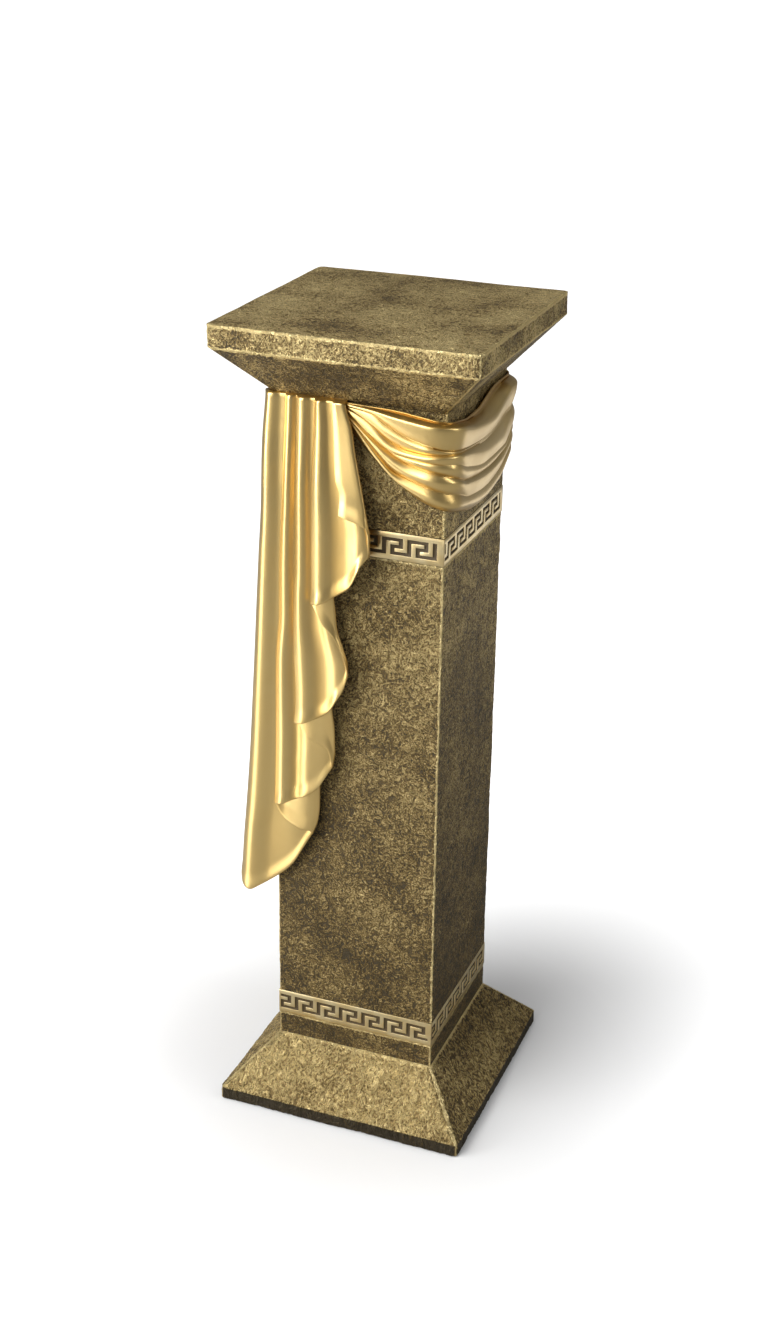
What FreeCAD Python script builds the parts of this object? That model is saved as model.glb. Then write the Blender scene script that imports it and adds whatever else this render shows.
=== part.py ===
import FreeCAD, Part
import math
import os
import re

import Sketcher
from FreeCAD import Vector

# A square pedestal column, 800 mm tall: a sloped base, a hollow shaft with two inlaid
# Greek-key bands, and a flared capital under a square slab.  A tie rod clamps the three
# castings.  A cast drape hangs down the front left corner, and a swag of the same cast
# cloth runs from the drape round the right face to the back.
# Millimetres.  The origin is on the floor under the middle of the column, +Z is up,
# the front face looks along -Y and the swag's long side is on +X.

doc = FreeCAD.newDocument("pedestal_column_stand")
sheet = doc.addObject("Spreadsheet::Sheet", "Sizes")

SIZES = [
    # the column from the floor up
    ("total_height", 800, "floor to the top of the slab"),
    ("pad_thickness", 2, "felt pads under the base"),
    ("pad_diameter", 18, "felt pads"),
    ("pad_inset", 13, "middle of a pad from the two outer faces of the base"),
    ("base_side", 255, "side of the base at the floor"),
    ("base_corner_radius", 4, "upright corners of the base"),
    ("plinth_height", 13, "upright edge of the base"),
    ("base_slope_height", 51, "sloped part of the base"),
    ("base_rim_width", 26, "rim that the base stands on"),
    ("base_mouth_height", 23, "wide lower part of the hollow in the base"),
    ("base_roof_side", 150, "narrow part of that hollow, under the web"),
    ("base_web_thickness", 10, "web that the tie rod pulls on"),
    ("base_recess_depth", 10, "web below the foot of the shaft"),
    ("shaft_side", 163, "side of the shaft"),
    ("shaft_corner_radius", 2.5, "upright corners of the shaft"),
    ("shaft_wall", 12, "wall of the shaft"),
    ("spigot_height", 15, "ring that centres a casting in the shaft"),
    ("spigot_wall", 10, "wall of that ring"),
    ("spigot_clearance", 0.5, "gap round that ring, each side"),
    ("flare_height", 45.5, "sloped part of the capital"),
    ("slab_side", 250, "side of the top slab"),
    ("slab_thickness", 21, "upright edge of the top slab"),
    ("slab_corner_radius", 5, "upright corners of the slab"),
    ("slab_edge_radius", 2.5, "rounding round the top face"),
    ("capital_roof", 30, "casting above the hollow of the capital"),
    # the tie rod and what it pulls on
    ("rod_diameter", 10, "tie rod"),
    ("rod_chamfer", 1, "ends of the tie rod"),
    ("rod_hole_diameter", 11, "hole in the web"),
    ("rod_overhang", 6, "rod below its nut"),
    ("thread_clearance", 0.1, "gap round the rod in its threads"),
    ("boss_diameter", 44, "boss under the roof of the capital"),
    ("boss_length", 25, "the same"),
    ("insert_diameter", 16, "threaded insert in the boss"),
    ("insert_length", 22, "the same"),
    ("insert_seam", 0.1, "gap round the cast-in insert"),
    ("plate_side", 50, "clamp plate under the web"),
    ("plate_thickness", 5, "the same"),
    ("washer_diameter", 24, "washer under the plate"),
    ("washer_thickness", 2, "the same"),
    ("nut_width", 17, "nut across its flats"),
    ("nut_height", 8, "the same"),
    # the two key bands
    ("band_height", 25.5, "inlaid strips"),
    ("lower_band_rise", 23.7, "foot of the shaft to the lower strips"),
    ("upper_band_drop", 113.4, "top of the shaft down to the upper strips"),
    ("channel_gap", 0.6, "gap above and below a strip"),
    ("channel_depth", 3, "channel in the shaft"),
    ("strip_proud", 0.2, "strip in front of the shaft's face"),
    ("mitre_gap", 0.1, "gap at a strip's mitred end"),
    ("key_column", 4, "one column of the key pattern"),
    ("key_row", 3.2, "one row of the key pattern"),
    ("key_depth", 1.2, "depth of the pattern"),
    ("key_left_stile", 1.5, "plain left end of a strip"),
    ("upper_key_stile", 6.5, "plain right end of an upper strip"),
    ("upper_key_start", 10.5, "last upright of the key from the right end, upper strips"),
    ("lower_key_stile", 3.5, "plain right end of a lower strip"),
    ("lower_key_start", 26, "last upright of the key from the right end, lower strips"),
    # the cast drape
    ("glue_line", 0.5, "shaft to the back of the drape"),
    ("tail_length", 501, "top of the shaft to the tip of the tail"),
    ("tail_reach", 99.5, "left edge of the shaft to the tail's right edge"),
    ("tail_spread", 40, "tail past the left face at its tip"),
    ("tail_wrap", 62, "tail on the left face"),
    ("tail_relief", 19, "front of the tail's top flap from the shaft"),
    ("tuck_height", 7, "tail under the flare"),
    ("flare_gap", 0.4, "tail and swag to the flare"),
    ("swag_relief", 10, "swag's folds from the shaft"),
    ("swag_groove", 6.4, "grooves between them from the shaft"),
    ("swag_edge", 3.5, "swag's edges from the shaft"),
    ("swag_full_fold", 13, "width of a fold from which it has its full relief"),
    ("swag_sag", 104, "top of the shaft to the swag's lowest point"),
    ("swag_start", 68, "left edge of the shaft to the swag's gather"),
    ("tail_swag_gap", 0.5, "tail to swag"),
    ("peg_diameter", 5, "pegs that hang the drape"),
    ("peg_clearance", 0.1, "gap round a peg"),
    ("peg_in_wall", 9, "peg in the shaft's wall"),
    ("peg_in_drape", 4, "peg in the drape"),
]
for row, (alias, number, note) in enumerate(SIZES, start=1):
    sheet.set(f"A{row}", note)
    sheet.set(f"B{row}", str(number))
    sheet.setAlias(f"B{row}", alias)
doc.recompute()
ALIASES = {alias for alias, number, note in SIZES}


def bound(words):
    """Words made of the sheet's aliases, as an expression that reads the sheet."""
    return re.sub(r"[a-z_]+", lambda found: "Sizes." * (found.group() in ALIASES) + found.group(), words)


def number_of(words):
    """The same words, worked out now."""
    return float(sheet.evalExpression(bound(words)))


def bind(item, **sizes):
    """Binds the named properties of a document object to words."""
    for name, words in sizes.items():
        item.setExpression(name.replace("__", "."), bound(words))
    return item


# Heights above the floor, in words.
PLINTH_TOP = "pad_thickness + plinth_height"
SHAFT_FOOT = f"{PLINTH_TOP} + base_slope_height"
SHAFT_TOP = "total_height - slab_thickness - flare_height"
FLARE_TOP = "total_height - slab_thickness"
WEB_TOP = f"{SHAFT_FOOT} - base_recess_depth"
WEB_UNDERSIDE = f"{WEB_TOP} - base_web_thickness"
CAPITAL_ROOF = "total_height - capital_roof"
INSERT_FOOT = f"{CAPITAL_ROOF} - boss_length"
NUT_FOOT = f"{WEB_UNDERSIDE} - plate_thickness - washer_thickness - nut_height"
LOWER_BAND_FOOT = f"{SHAFT_FOOT} + lower_band_rise"
UPPER_BAND_FOOT = f"{SHAFT_TOP} - upper_band_drop - band_height"
# Widths, in words.
SHAFT_HALF = "shaft_side / 2"
SPIGOT_SIDE = "shaft_side - 2 * shaft_wall - 2 * spigot_clearance"
SPIGOT_HOLE = f"{SPIGOT_SIDE} - 2 * spigot_wall"


# ---------------------------------------------------------------- sketches and features
def level_sketch(body, name, height):
    """A sketch of the body, parallel to the floor at the given height."""
    sketch = body.newObject("Sketcher::SketchObject", name)
    plane = [item for item in body.Origin.OriginFeatures if item.Role == "XY_Plane"][0]
    sketch.AttachmentSupport = [(plane, "")]
    sketch.MapMode = "FlatFace"
    bind(sketch, AttachmentOffset__Base__z=height)
    return sketch


def draw_square(sketch, side, corner=None):
    """A square about the axis, with rounded corners where a corner radius is given."""
    half = number_of(side) / 2
    first = sketch.GeometryCount
    turns = [Vector(-1, -1), Vector(1, -1), Vector(1, 1), Vector(-1, 1)]
    radius = number_of(corner) if corner else 0
    for index in range(4):
        start, end = turns[index] * half, turns[(index + 1) % 4] * half
        along = (end - start).normalize() * radius
        sketch.addGeometry(Part.LineSegment(start + along, end - along))
    for index in range(4):
        limit = (first + index, 2, first + (index + 1) % 4, 1)
        if not corner:
            sketch.addConstraint(Sketcher.Constraint("Coincident", *limit))
            continue
        centre = turns[(index + 1) % 4] * (half - radius)
        begin = math.radians(-90 + 90 * index)
        round_part = Part.Circle(centre, Vector(0, 0, 1), radius)
        arc = sketch.addGeometry(Part.ArcOfCircle(round_part, begin, begin + math.pi / 2))
        sketch.addConstraint(Sketcher.Constraint("Tangent", limit[0], 2, arc, 1))
        sketch.addConstraint(Sketcher.Constraint("Tangent", arc, 2, limit[2], 1))
        if index:
            sketch.addConstraint(Sketcher.Constraint("Equal", first + 4, arc))
    for index, way in enumerate(["Horizontal", "Vertical", "Horizontal", "Vertical"]):
        sketch.addConstraint(Sketcher.Constraint(way, first + index))
    sketch.addConstraint(Sketcher.Constraint("Equal", first, first + 1))
    sketch.addConstraint(Sketcher.Constraint("Symmetric", first, 1, first + 2, 1, -1, 1))
    width = sketch.addConstraint(Sketcher.Constraint("DistanceX", first + 3, 1, first + 1, 1, 2 * half))
    bind(sketch, **{f"Constraints[{width}]": side})
    if corner:
        curve = sketch.addConstraint(Sketcher.Constraint("Radius", first + 4, radius))
        bind(sketch, **{f"Constraints[{curve}]": corner})


def draw_circle(sketch, diameter):
    """A circle about the axis."""
    size = number_of(diameter)
    ring = sketch.addGeometry(Part.Circle(Vector(0, 0, 0), Vector(0, 0, 1), size / 2))
    sketch.addConstraint(Sketcher.Constraint("Coincident", ring, 3, -1, 1))
    width = sketch.addConstraint(Sketcher.Constraint("Diameter", ring, size))
    bind(sketch, **{f"Constraints[{width}]": diameter})


def pad(body, sketch, length, down=False):
    """Adds the sketch's area upwards, or downwards."""
    feature = body.newObject("PartDesign::Pad", sketch.Name + "_pad")
    feature.Profile = sketch
    feature.Reversed = down
    return bind(feature, Length=length)


def pocket(body, sketch, length):
    """Cuts the sketch's area downwards."""
    feature = body.newObject("PartDesign::Pocket", sketch.Name + "_pocket")
    feature.Profile = sketch
    return bind(feature, Length=length)


def slope(body, lower, upper):
    """Adds a straight-sided slope between two level sketches."""
    feature = body.newObject("PartDesign::AdditiveLoft", lower.Name + "_slope")
    feature.Profile = lower
    feature.Sections = [upper]
    feature.Ruled = True
    return feature


def level_square(body, name, height, side, corner=None, hole=None):
    """A level sketch of a square, with a square hole where one is given."""
    sketch = level_sketch(body, name, height)
    draw_square(sketch, side, corner)
    if hole:
        draw_square(sketch, hole)
    return sketch


def level_circle(body, name, height, diameter):
    """A level sketch of a circle about the axis."""
    sketch = level_sketch(body, name, height)
    draw_circle(sketch, diameter)
    return sketch


# ---------------------------------------------------------------- the three castings
def make_base():
    """The foot casting: a plinth and a slope, hollow below, with a web for the tie rod."""
    body = doc.addObject("PartDesign::Body", "base")
    foot = level_square(body, "base_foot", "pad_thickness", "base_side", "base_corner_radius")
    pad(body, foot, "plinth_height")
    wide = level_square(body, "base_wide", PLINTH_TOP, "base_side", "base_corner_radius")
    narrow = level_square(body, "base_narrow", SHAFT_FOOT, "shaft_side", "shaft_corner_radius")
    slope(body, wide, narrow)
    ring = level_square(body, "base_spigot", SHAFT_FOOT, SPIGOT_SIDE)
    pad(body, ring, "spigot_height")
    recess = level_square(body, "base_recess", f"{SHAFT_FOOT} + spigot_height", SPIGOT_HOLE)
    pocket(body, recess, "spigot_height + base_recess_depth")
    step = "pad_thickness + base_mouth_height"
    mouth = level_square(body, "base_mouth", step, "base_side - 2 * base_rim_width")
    pocket(body, mouth, "base_mouth_height")
    roof = level_square(body, "base_roof", WEB_UNDERSIDE, "base_roof_side")
    pocket(body, roof, f"{WEB_UNDERSIDE} - pad_thickness")
    hole = level_circle(body, "base_rod_hole", WEB_TOP, "rod_hole_diameter")
    pocket(body, hole, "base_web_thickness")
    return body


def make_shaft_tube():
    """The hollow shaft with a channel round it for each band of strips."""
    body = doc.addObject("PartDesign::Body", "shaft_tube")
    bore = "shaft_side - 2 * shaft_wall"
    wall = level_square(body, "shaft_section", SHAFT_FOOT, "shaft_side", "shaft_corner_radius", bore)
    pad(body, wall, f"{SHAFT_TOP} - ({SHAFT_FOOT})")
    for name, foot in (("lower", LOWER_BAND_FOOT), ("upper", UPPER_BAND_FOOT)):
        height = f"{foot} + band_height + channel_gap"
        floor = "shaft_side - 2 * channel_depth"
        channel = level_square(body, f"{name}_channel", height, "shaft_side + 20", None, floor)
        pocket(body, channel, "band_height + 2 * channel_gap")
    return body


def make_capital():
    """The top casting: a flare and a slab, hollow below, with a boss for the tie rod."""
    body = doc.addObject("PartDesign::Body", "capital")
    narrow = level_square(body, "flare_narrow", SHAFT_TOP, "shaft_side", "shaft_corner_radius")
    wide = level_square(body, "flare_wide", FLARE_TOP, "slab_side", "slab_corner_radius")
    slope(body, narrow, wide)
    slab = level_square(body, "slab", FLARE_TOP, "slab_side", "slab_corner_radius")
    pad(body, slab, "slab_thickness")
    ring = level_square(body, "capital_spigot", SHAFT_TOP, SPIGOT_SIDE)
    pad(body, ring, "spigot_height", down=True)
    hollow = level_square(body, "capital_hollow", CAPITAL_ROOF, SPIGOT_HOLE)
    pocket(body, hollow, f"{CAPITAL_ROOF} - ({SHAFT_TOP}) + spigot_height")
    boss = level_circle(body, "capital_boss", CAPITAL_ROOF, "boss_diameter")
    pad(body, boss, "boss_length", down=True)
    seat = level_circle(body, "insert_seat", f"{INSERT_FOOT} + insert_length",
                        "insert_diameter + 2 * insert_seam")
    pocket(body, seat, "insert_length")
    doc.recompute()
    top = number_of("total_height")
    rim = [f"Edge{index}" for index, edge in enumerate(body.Shape.Edges, start=1)
           if all(abs(vertex.Z - top) < 1e-6 for vertex in edge.Vertexes)]
    block = body.Tip
    rounding = body.newObject("PartDesign::Fillet", "slab_rounding")
    rounding.Base = (block, rim)
    bind(rounding, Radius="slab_edge_radius")
    return body


# ---------------------------------------------------------------- plain solids
def cylinder(name, diameter, length, foot):
    """An upright cylinder on the axis of the column."""
    item = doc.addObject("Part::Cylinder", name)
    return bind(item, Radius=f"({diameter}) / 2", Height=length, Placement__Base__z=foot)


def cut(name, solid, tool):
    """The solid with the tool taken out of it."""
    item = doc.addObject("Part::Cut", name)
    item.Base = solid
    item.Tool = tool
    return item


def ring(name, outer, inner, length, foot):
    """An upright tube on the axis of the column."""
    solid = cylinder(name + "_outside", outer, length, foot)
    return cut(name, solid, cylinder(name + "_hole", inner, length, foot))


def group(name, items):
    """Like pieces that stay separate solids under one name."""
    item = doc.addObject("Part::Compound", name)
    item.Links = items
    return item


THREAD_HOLE = "rod_diameter + 2 * thread_clearance"


def make_rod_insert():
    """The threaded insert that is cast into the boss of the capital."""
    return ring("rod_insert", "insert_diameter", THREAD_HOLE, "insert_length", INSERT_FOOT)


def make_tie_rod():
    """The threaded rod that pulls the capital and the base against the shaft."""
    body = doc.addObject("PartDesign::Body", "tie_rod")
    foot = f"{NUT_FOOT} - rod_overhang"
    section = level_circle(body, "rod_section", foot, "rod_diameter")
    pad(body, section, f"{INSERT_FOOT} + insert_length - rod_chamfer - ({foot})")
    doc.recompute()
    ends = [f"Edge{index}" for index, edge in enumerate(body.Shape.Edges, start=1)
            if edge.isClosed()]
    bar = body.Tip
    chamfer = body.newObject("PartDesign::Chamfer", "rod_ends")
    chamfer.Base = (bar, ends)
    bind(chamfer, Size="rod_chamfer")
    return body


def make_clamp_plate():
    """The square steel plate that spreads the pull under the web of the base."""
    plate = doc.addObject("Part::Box", "clamp_plate_blank")
    foot = f"{WEB_UNDERSIDE} - plate_thickness"
    bind(plate, Length="plate_side", Width="plate_side", Height="plate_thickness")
    bind(plate, Placement__Base__x="-plate_side / 2", Placement__Base__y="-plate_side / 2")
    bind(plate, Placement__Base__z=foot)
    hole = cylinder("clamp_plate_hole", "rod_hole_diameter", "plate_thickness", foot)
    return cut("clamp_plate", plate, hole)


def make_washer():
    """The washer between the plate and the nut."""
    foot = f"{NUT_FOOT} + nut_height"
    return ring("rod_washer", "washer_diameter", "rod_hole_diameter", "washer_thickness", foot)


def make_nut():
    """The hexagon nut at the foot of the tie rod."""
    blank = doc.addObject("Part::Prism", "rod_nut_blank")
    blank.Polygon = 6
    bind(blank, Circumradius="nut_width / sqrt(3)", Height="nut_height", Placement__Base__z=NUT_FOOT)
    return cut("rod_nut", blank, cylinder("rod_nut_hole", THREAD_HOLE, "nut_height", NUT_FOOT))


def make_pads():
    """Four round felt pads under the corners of the rim."""
    reach = "(base_side / 2 - pad_inset)"
    for name, across, back in (("front_left", "-1", "-1"), ("front_right", "1", "-1"),
                               ("back_right", "1", "1"), ("back_left", "-1", "1")):
        item = cylinder(f"felt_pad_{name}", "pad_diameter", "pad_thickness", "0")
        bind(item, Placement__Base__x=f"{across} * {reach}", Placement__Base__y=f"{back} * {reach}")
        yield item


# ---------------------------------------------------------------- the key bands
def key_recess(name, foot, start, stile):
    """The meander that is sunk into a front strip: one line that never breaks."""
    column, row = number_of("key_column"), number_of("key_row")
    half = number_of(SHAFT_HALF)
    face = -half - number_of("strip_proud")
    low = number_of(foot) + (number_of("band_height") - 5 * row) / 2
    # one turn of the line, in columns and rows from the foot of its upright
    outer = [(0, 1), (0, 5), (5, 5), (5, 2), (3, 2), (3, 1)]
    inner = [(1, 0), (1, 4), (4, 4), (4, 3), (2, 3), (2, 0)]
    turn = 6 * column
    count = math.ceil(2 * half / turn) + 2
    last = half - number_of(start)
    starts = [last + (index - count + 1) * turn for index in range(count + 1)]
    outline = [(left + step * column, rise * row) for left in starts for step, rise in outer]
    outline += [(left + step * column, rise * row) for left in reversed(starts)
                for step, rise in reversed(inner)]
    corners = [Vector(across, face - 1, low + rise) for across, rise in outline]
    line = Part.Face(Part.makePolygon(corners + corners[:1]))
    line = line.extrude(Vector(0, 1 + number_of("key_depth"), 0))
    left = -half + number_of("key_left_stile")
    field = Part.makeBox(half - number_of(stile) - left, 10, 5 * row, Vector(left, face - 1, low))
    item = doc.addObject("Part::Feature", name)
    item.Shape = line.common(field)
    return item


def make_strips(band, foot, start, stile):
    """Four mitred strips round the shaft, laid in their channel, with the key sunk in each."""
    recess = key_recess(f"{band}_key_line", foot, start, stile)
    blank = doc.addObject("Part::Wedge", f"{band}_strip_blank")
    outside, inside = f"({SHAFT_HALF} + strip_proud)", f"({SHAFT_HALF} - channel_depth)"
    bind(blank, Ymin=f"-{outside}", Ymax=f"-{inside}")
    bind(blank, Xmin=f"mitre_gap - {outside}", Xmax=f"{outside} - mitre_gap")
    bind(blank, X2min=f"mitre_gap - {inside}", X2max=f"{inside} - mitre_gap")
    bind(blank, Zmin=foot, Z2min=foot, Zmax=f"{foot} + band_height", Z2max=f"{foot} + band_height")
    for quarter, side in enumerate(("front", "right", "back", "left")):
        item = cut(f"{band}_key_strip_{side}", blank, recess)
        turned = FreeCAD.Rotation(Vector(0, 0, 1), 90 * quarter)
        item.Placement = FreeCAD.Placement(Vector(0, 0, 0), turned)
        yield item


# ---------------------------------------------------------------- the cast drape
class Drape:
    """Sizes that the two drape castings share: lengths down are from the top of the shaft."""
    half = number_of(SHAFT_HALF)
    top = number_of(SHAFT_TOP)
    glue = number_of("glue_line")
    length = number_of("tail_length")
    reach = number_of("tail_reach")
    relief = number_of("tail_relief")
    tuck = number_of("tuck_height")
    face = -half - glue


def closed_loft(sections):
    """A solid through closed sections with straight rulings between them."""
    solid = Part.makeLoft(sections, True, True)
    if solid.Volume < 0:
        solid.reverse()
    return solid


def curve_through(points):
    """Arcs through every other point, one after the other."""
    return [Part.Arc(*points[index:index + 3]).toShape() for index in range(0, len(points) - 2, 2)]


# The tail folds back and forth as it goes up.  Each layer is a face of the cloth, or the
# turned-back cloth between two faces.  It has its depth as a share of the relief, its
# number of flutes, its left and right fold lines and its hem.  Across is a share of the
# tail's reach from the left edge of the shaft, down a share of its length.
TOP_RIGHT_FOLD = [(-0.02, 0.685), (0.04, 0.775), (0.11, 0.86), (0.17, 0.935), (0.30, 1.0)]
TAIL_LAYERS = [
    ("flap", 1.00, 1,
     [(-0.02, 0.63), (0.06, 0.65), (0.13, 0.68), (0.30, 0.73)],
     TOP_RIGHT_FOLD[:1] + [(0.06, 0.80), (0.13, 0.885), (0.30, 1.0)],
     [(0.60, 0.195), (0.82, 0.198), (0.93, 0.207), (0.99, 0.235), (1.00, 0.268)]),
    ("first face", 0.84, 3,
     [(-0.02, 0.45), (0.13, 0.44), (0.26, 0.43), (0.38, 0.52)],
     [(-0.02, 0.66), (0.13, 0.88), (0.26, 0.995), (0.38, 0.995)],
     [(0.40, 0.372), (0.69, 0.348), (0.89, 0.301), (0.97, 0.284), (1.03, 0.262)]),
    ("first turn", 0.72, 1,
     [(-0.02, 0.46), (0.30, 0.45), (0.52, 0.45)],
     [(-0.02, 0.60), (0.36, 0.60), (0.52, 0.80)],
     [(0.38, 0.355), (0.54, 0.405), (0.69, 0.445), (0.73, 0.477), (0.79, 0.508)]),
    ("second face", 0.65, 3,
     [(-0.02, 0.27), (0.30, 0.255), (0.48, 0.235), (0.63, 0.27)],
     [(-0.02, 0.55), (0.36, 0.62), (0.49, 0.78), (0.63, 0.78)],
     [(0.16, 0.632), (0.41, 0.608), (0.61, 0.578), (0.74, 0.535), (0.81, 0.492)]),
    ("second turn", 0.54, 1,
     [(-0.02, 0.28), (0.50, 0.25), (0.74, 0.25)],
     [(-0.02, 0.50), (0.60, 0.60), (0.74, 0.63)],
     [(0.17, 0.600), (0.35, 0.639), (0.46, 0.650), (0.57, 0.664), (0.63, 0.702)]),
    ("third face", 0.49, 2,
     [(-0.02, 0.155), (0.25, 0.105), (0.50, 0.046), (0.83, 0.02)],
     [(-0.02, 0.45), (0.40, 0.55), (0.60, 0.61), (0.83, 0.62)],
     [(-0.06, 0.808), (0.21, 0.786), (0.42, 0.757), (0.54, 0.728), (0.64, 0.690)]),
    ("third turn", 0.40, 1,
     [(-0.02, 0.16), (0.50, 0.05), (0.88, 0.02)],
     [(-0.02, 0.40), (0.70, 0.47), (0.88, 0.45)],
     [(-0.05, 0.800), (0.09, 0.826), (0.20, 0.839), (0.32, 0.846), (0.47, 0.850)]),
]


def fluted_section(left, right, down, depth, flutes):
    """A level section of a face of the cloth: straight at the shaft, arched in front."""
    height = Drape.top - down
    back, groove = Drape.face, Drape.face - depth + 0.12 * Drape.relief
    front = Drape.face - depth
    width = (right - left) / flutes
    points = []
    for index in range(flutes):
        points.append(Vector(left + index * width, groove, height))
        points.append(Vector(left + (index + 0.5) * width, front, height))
    points.append(Vector(right, groove, height))
    foot_left, foot_right = Vector(left, back, height), Vector(right, back, height)
    edges = [Part.makeLine(foot_left, points[0])] + curve_through(points)
    edges += [Part.makeLine(points[-1], foot_right), Part.makeLine(foot_right, foot_left)]
    return Part.Wire(edges)


def line_at(line, down):
    """Where a fold line, given as (down, across) points, lies at a height."""
    for (upper, first), (lower, second) in zip(line, line[1:]):
        if down <= lower:
            return first + (second - first) * (down - upper) / (lower - upper)
    return line[-1][1]


def above_hem(hem):
    """The room in front of the shaft and above a hem of arcs, given as (across, down)."""
    points = [Vector(-Drape.half + across * Drape.reach, 0, Drape.top - down * Drape.length)
              for across, down in hem]
    high = Drape.top + 2 * Drape.tuck
    left = min(point.x for point in points) - Drape.relief
    right = max(point.x for point in points) + Drape.relief
    path = [points[-1], Vector(right, 0, points[-1].z), Vector(right, 0, high)]
    path += [Vector(left, 0, high), Vector(left, 0, points[0].z), points[0]]
    edges = curve_through(points)
    edges += [Part.makeLine(first, second) for first, second in zip(path, path[1:])]
    room = Part.Face(Part.Wire(edges)).extrude(Vector(0, -4 * Drape.half, 0))
    room.translate(Vector(0, 2 * Drape.half, 0))
    return room


def tail_layer(depth, flutes, left_fold, right_fold, hem):
    """One layer of the tail above its hem, filled back to the shaft."""
    downs = sorted({down for down, across in left_fold + right_fold})
    sections = []
    for down in downs:
        left = -Drape.half + line_at(left_fold, down) * Drape.reach
        right = -Drape.half + line_at(right_fold, down) * Drape.reach
        place = down * Drape.length if down > 0 else -Drape.tuck
        sections.append(fluted_section(left, right, place, depth * Drape.relief, flutes))
    return closed_loft(sections).common(above_hem(hem))


# The last layer goes round the corner.  At each height it has the share of its spread and
# the share of its wrap on the left face, and its right fold.
CORNER_LEVELS = [
    (-0.02, 0.17, 0.78, 0.30),
    (0.20, 0.31, 0.82, 0.36),
    (0.40, 0.47, 0.88, 0.42),
    (0.60, 0.64, 0.94, 0.47),
    (0.80, 0.83, 1.00, 0.47),
    (1.02, 1.02, 1.06, 0.40),
]


def corner_section(down, spread, wrap, right):
    """A level section of the last layer: a roll past the corner, and a flute on each side."""
    height = Drape.top - (down * Drape.length if down > 0 else -Drape.tuck)
    out = spread * number_of("tail_spread")
    rear = Drape.face + wrap * number_of("tail_wrap")
    front = Drape.face - 0.34 * Drape.relief
    thin = 0.16 * Drape.relief

    def at(across, back):
        return Vector(across, back, height)

    edge = at(-Drape.half + right * Drape.reach, front + thin)
    outer = [
        at(Drape.face - thin, rear),
        at(Drape.face - 2 * thin - 0.10 * out, rear - 0.20 * (rear - Drape.face)),
        at(Drape.face - thin - 0.30 * out, rear - 0.45 * (rear - Drape.face)),
        at(Drape.face - 2 * thin - 0.62 * out, rear - 0.70 * (rear - Drape.face)),
        at(Drape.face + 0.5 - 0.88 * out, Drape.face + 0.08 * (rear - Drape.face)),
        at(Drape.face + 0.5 - out, Drape.face - 0.10 * Drape.relief),
        at(Drape.face + 0.5 - 0.72 * out, front - 0.04 * Drape.relief),
        at((Drape.face - 0.72 * out + edge.x) / 2, front - 0.02 * Drape.relief),
        edge,
    ]
    feet = [at(edge.x, Drape.face), at(Drape.face, Drape.face), at(Drape.face, rear)]
    path = [outer[-1]] + feet + [outer[0]]
    edges = curve_through(outer)
    edges += [Part.makeLine(first, second) for first, second in zip(path, path[1:])]
    return Part.Wire(edges)


def corner_layer():
    """The last and longest layer, from its right fold round the corner to the left face."""
    solid = closed_loft([corner_section(*level) for level in CORNER_LEVELS])
    hem = [(-0.45, 0.965), (-0.28, 1.0), (-0.15, 0.988), (0.20, 0.93), (0.50, 0.835)]
    solid = solid.common(above_hem(hem))
    # on the left face the hem climbs again towards the back
    rear = Drape.face + 1.2 * number_of("tail_wrap")
    climb = [Vector(0, Drape.face - 2 * Drape.relief, Drape.top - 1.02 * Drape.length),
             Vector(0, Drape.face, Drape.top - 1.01 * Drape.length),
             Vector(0, Drape.face + 0.5 * (rear - Drape.face), Drape.top - 0.92 * Drape.length),
             Vector(0, rear, Drape.top - 0.76 * Drape.length)]
    high = Drape.top + 2 * Drape.tuck
    corners = [Vector(0, rear, high), Vector(0, climb[0].y, high)]
    edges = [Part.makeLine(climb[0], climb[1]), Part.Arc(*climb[1:]).toShape()]
    edges += [Part.makeLine(climb[3], corners[0]), Part.makeLine(corners[0], corners[1])]
    edges += [Part.makeLine(corners[1], climb[0])]
    room = Part.Face(Part.Wire(edges)).extrude(Vector(6 * Drape.half, 0, 0))
    room.translate(Vector(-3 * Drape.half, 0, 0))
    return solid.common(room)


def flare_room():
    """The flare of the capital and the gap that the drape leaves to it."""
    narrow, wide = number_of(SHAFT_HALF), number_of("slab_side / 2")
    foot, head = number_of(f"{SHAFT_TOP} - flare_gap"), number_of(f"{FLARE_TOP} - flare_gap")
    turns = [(-1, -1), (1, -1), (1, 1), (-1, 1)]
    lower = [Vector(narrow * across, narrow * back, foot) for across, back in turns]
    upper = [Vector(wide * across, wide * back, head) for across, back in turns]
    rings = [lower, upper]
    rings += [[lower[index - 1], lower[index], upper[index], upper[index - 1]] for index in range(4)]
    walls = [Part.Face(Part.makePolygon(corners + corners[:1])) for corners in rings]
    room = Part.Solid(Part.Shell(walls))
    room.fixTolerance(1e-7)
    return room


def make_tail():
    """The cast tail: every layer in one piece, cut to the flare at its top."""
    layers = [tail_layer(depth, flutes, left_fold, right_fold, hem)
              for name, depth, flutes, left_fold, right_fold, hem in TAIL_LAYERS]
    return corner_layer().fuse(layers).cut(flare_room()).removeSplitter()


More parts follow.
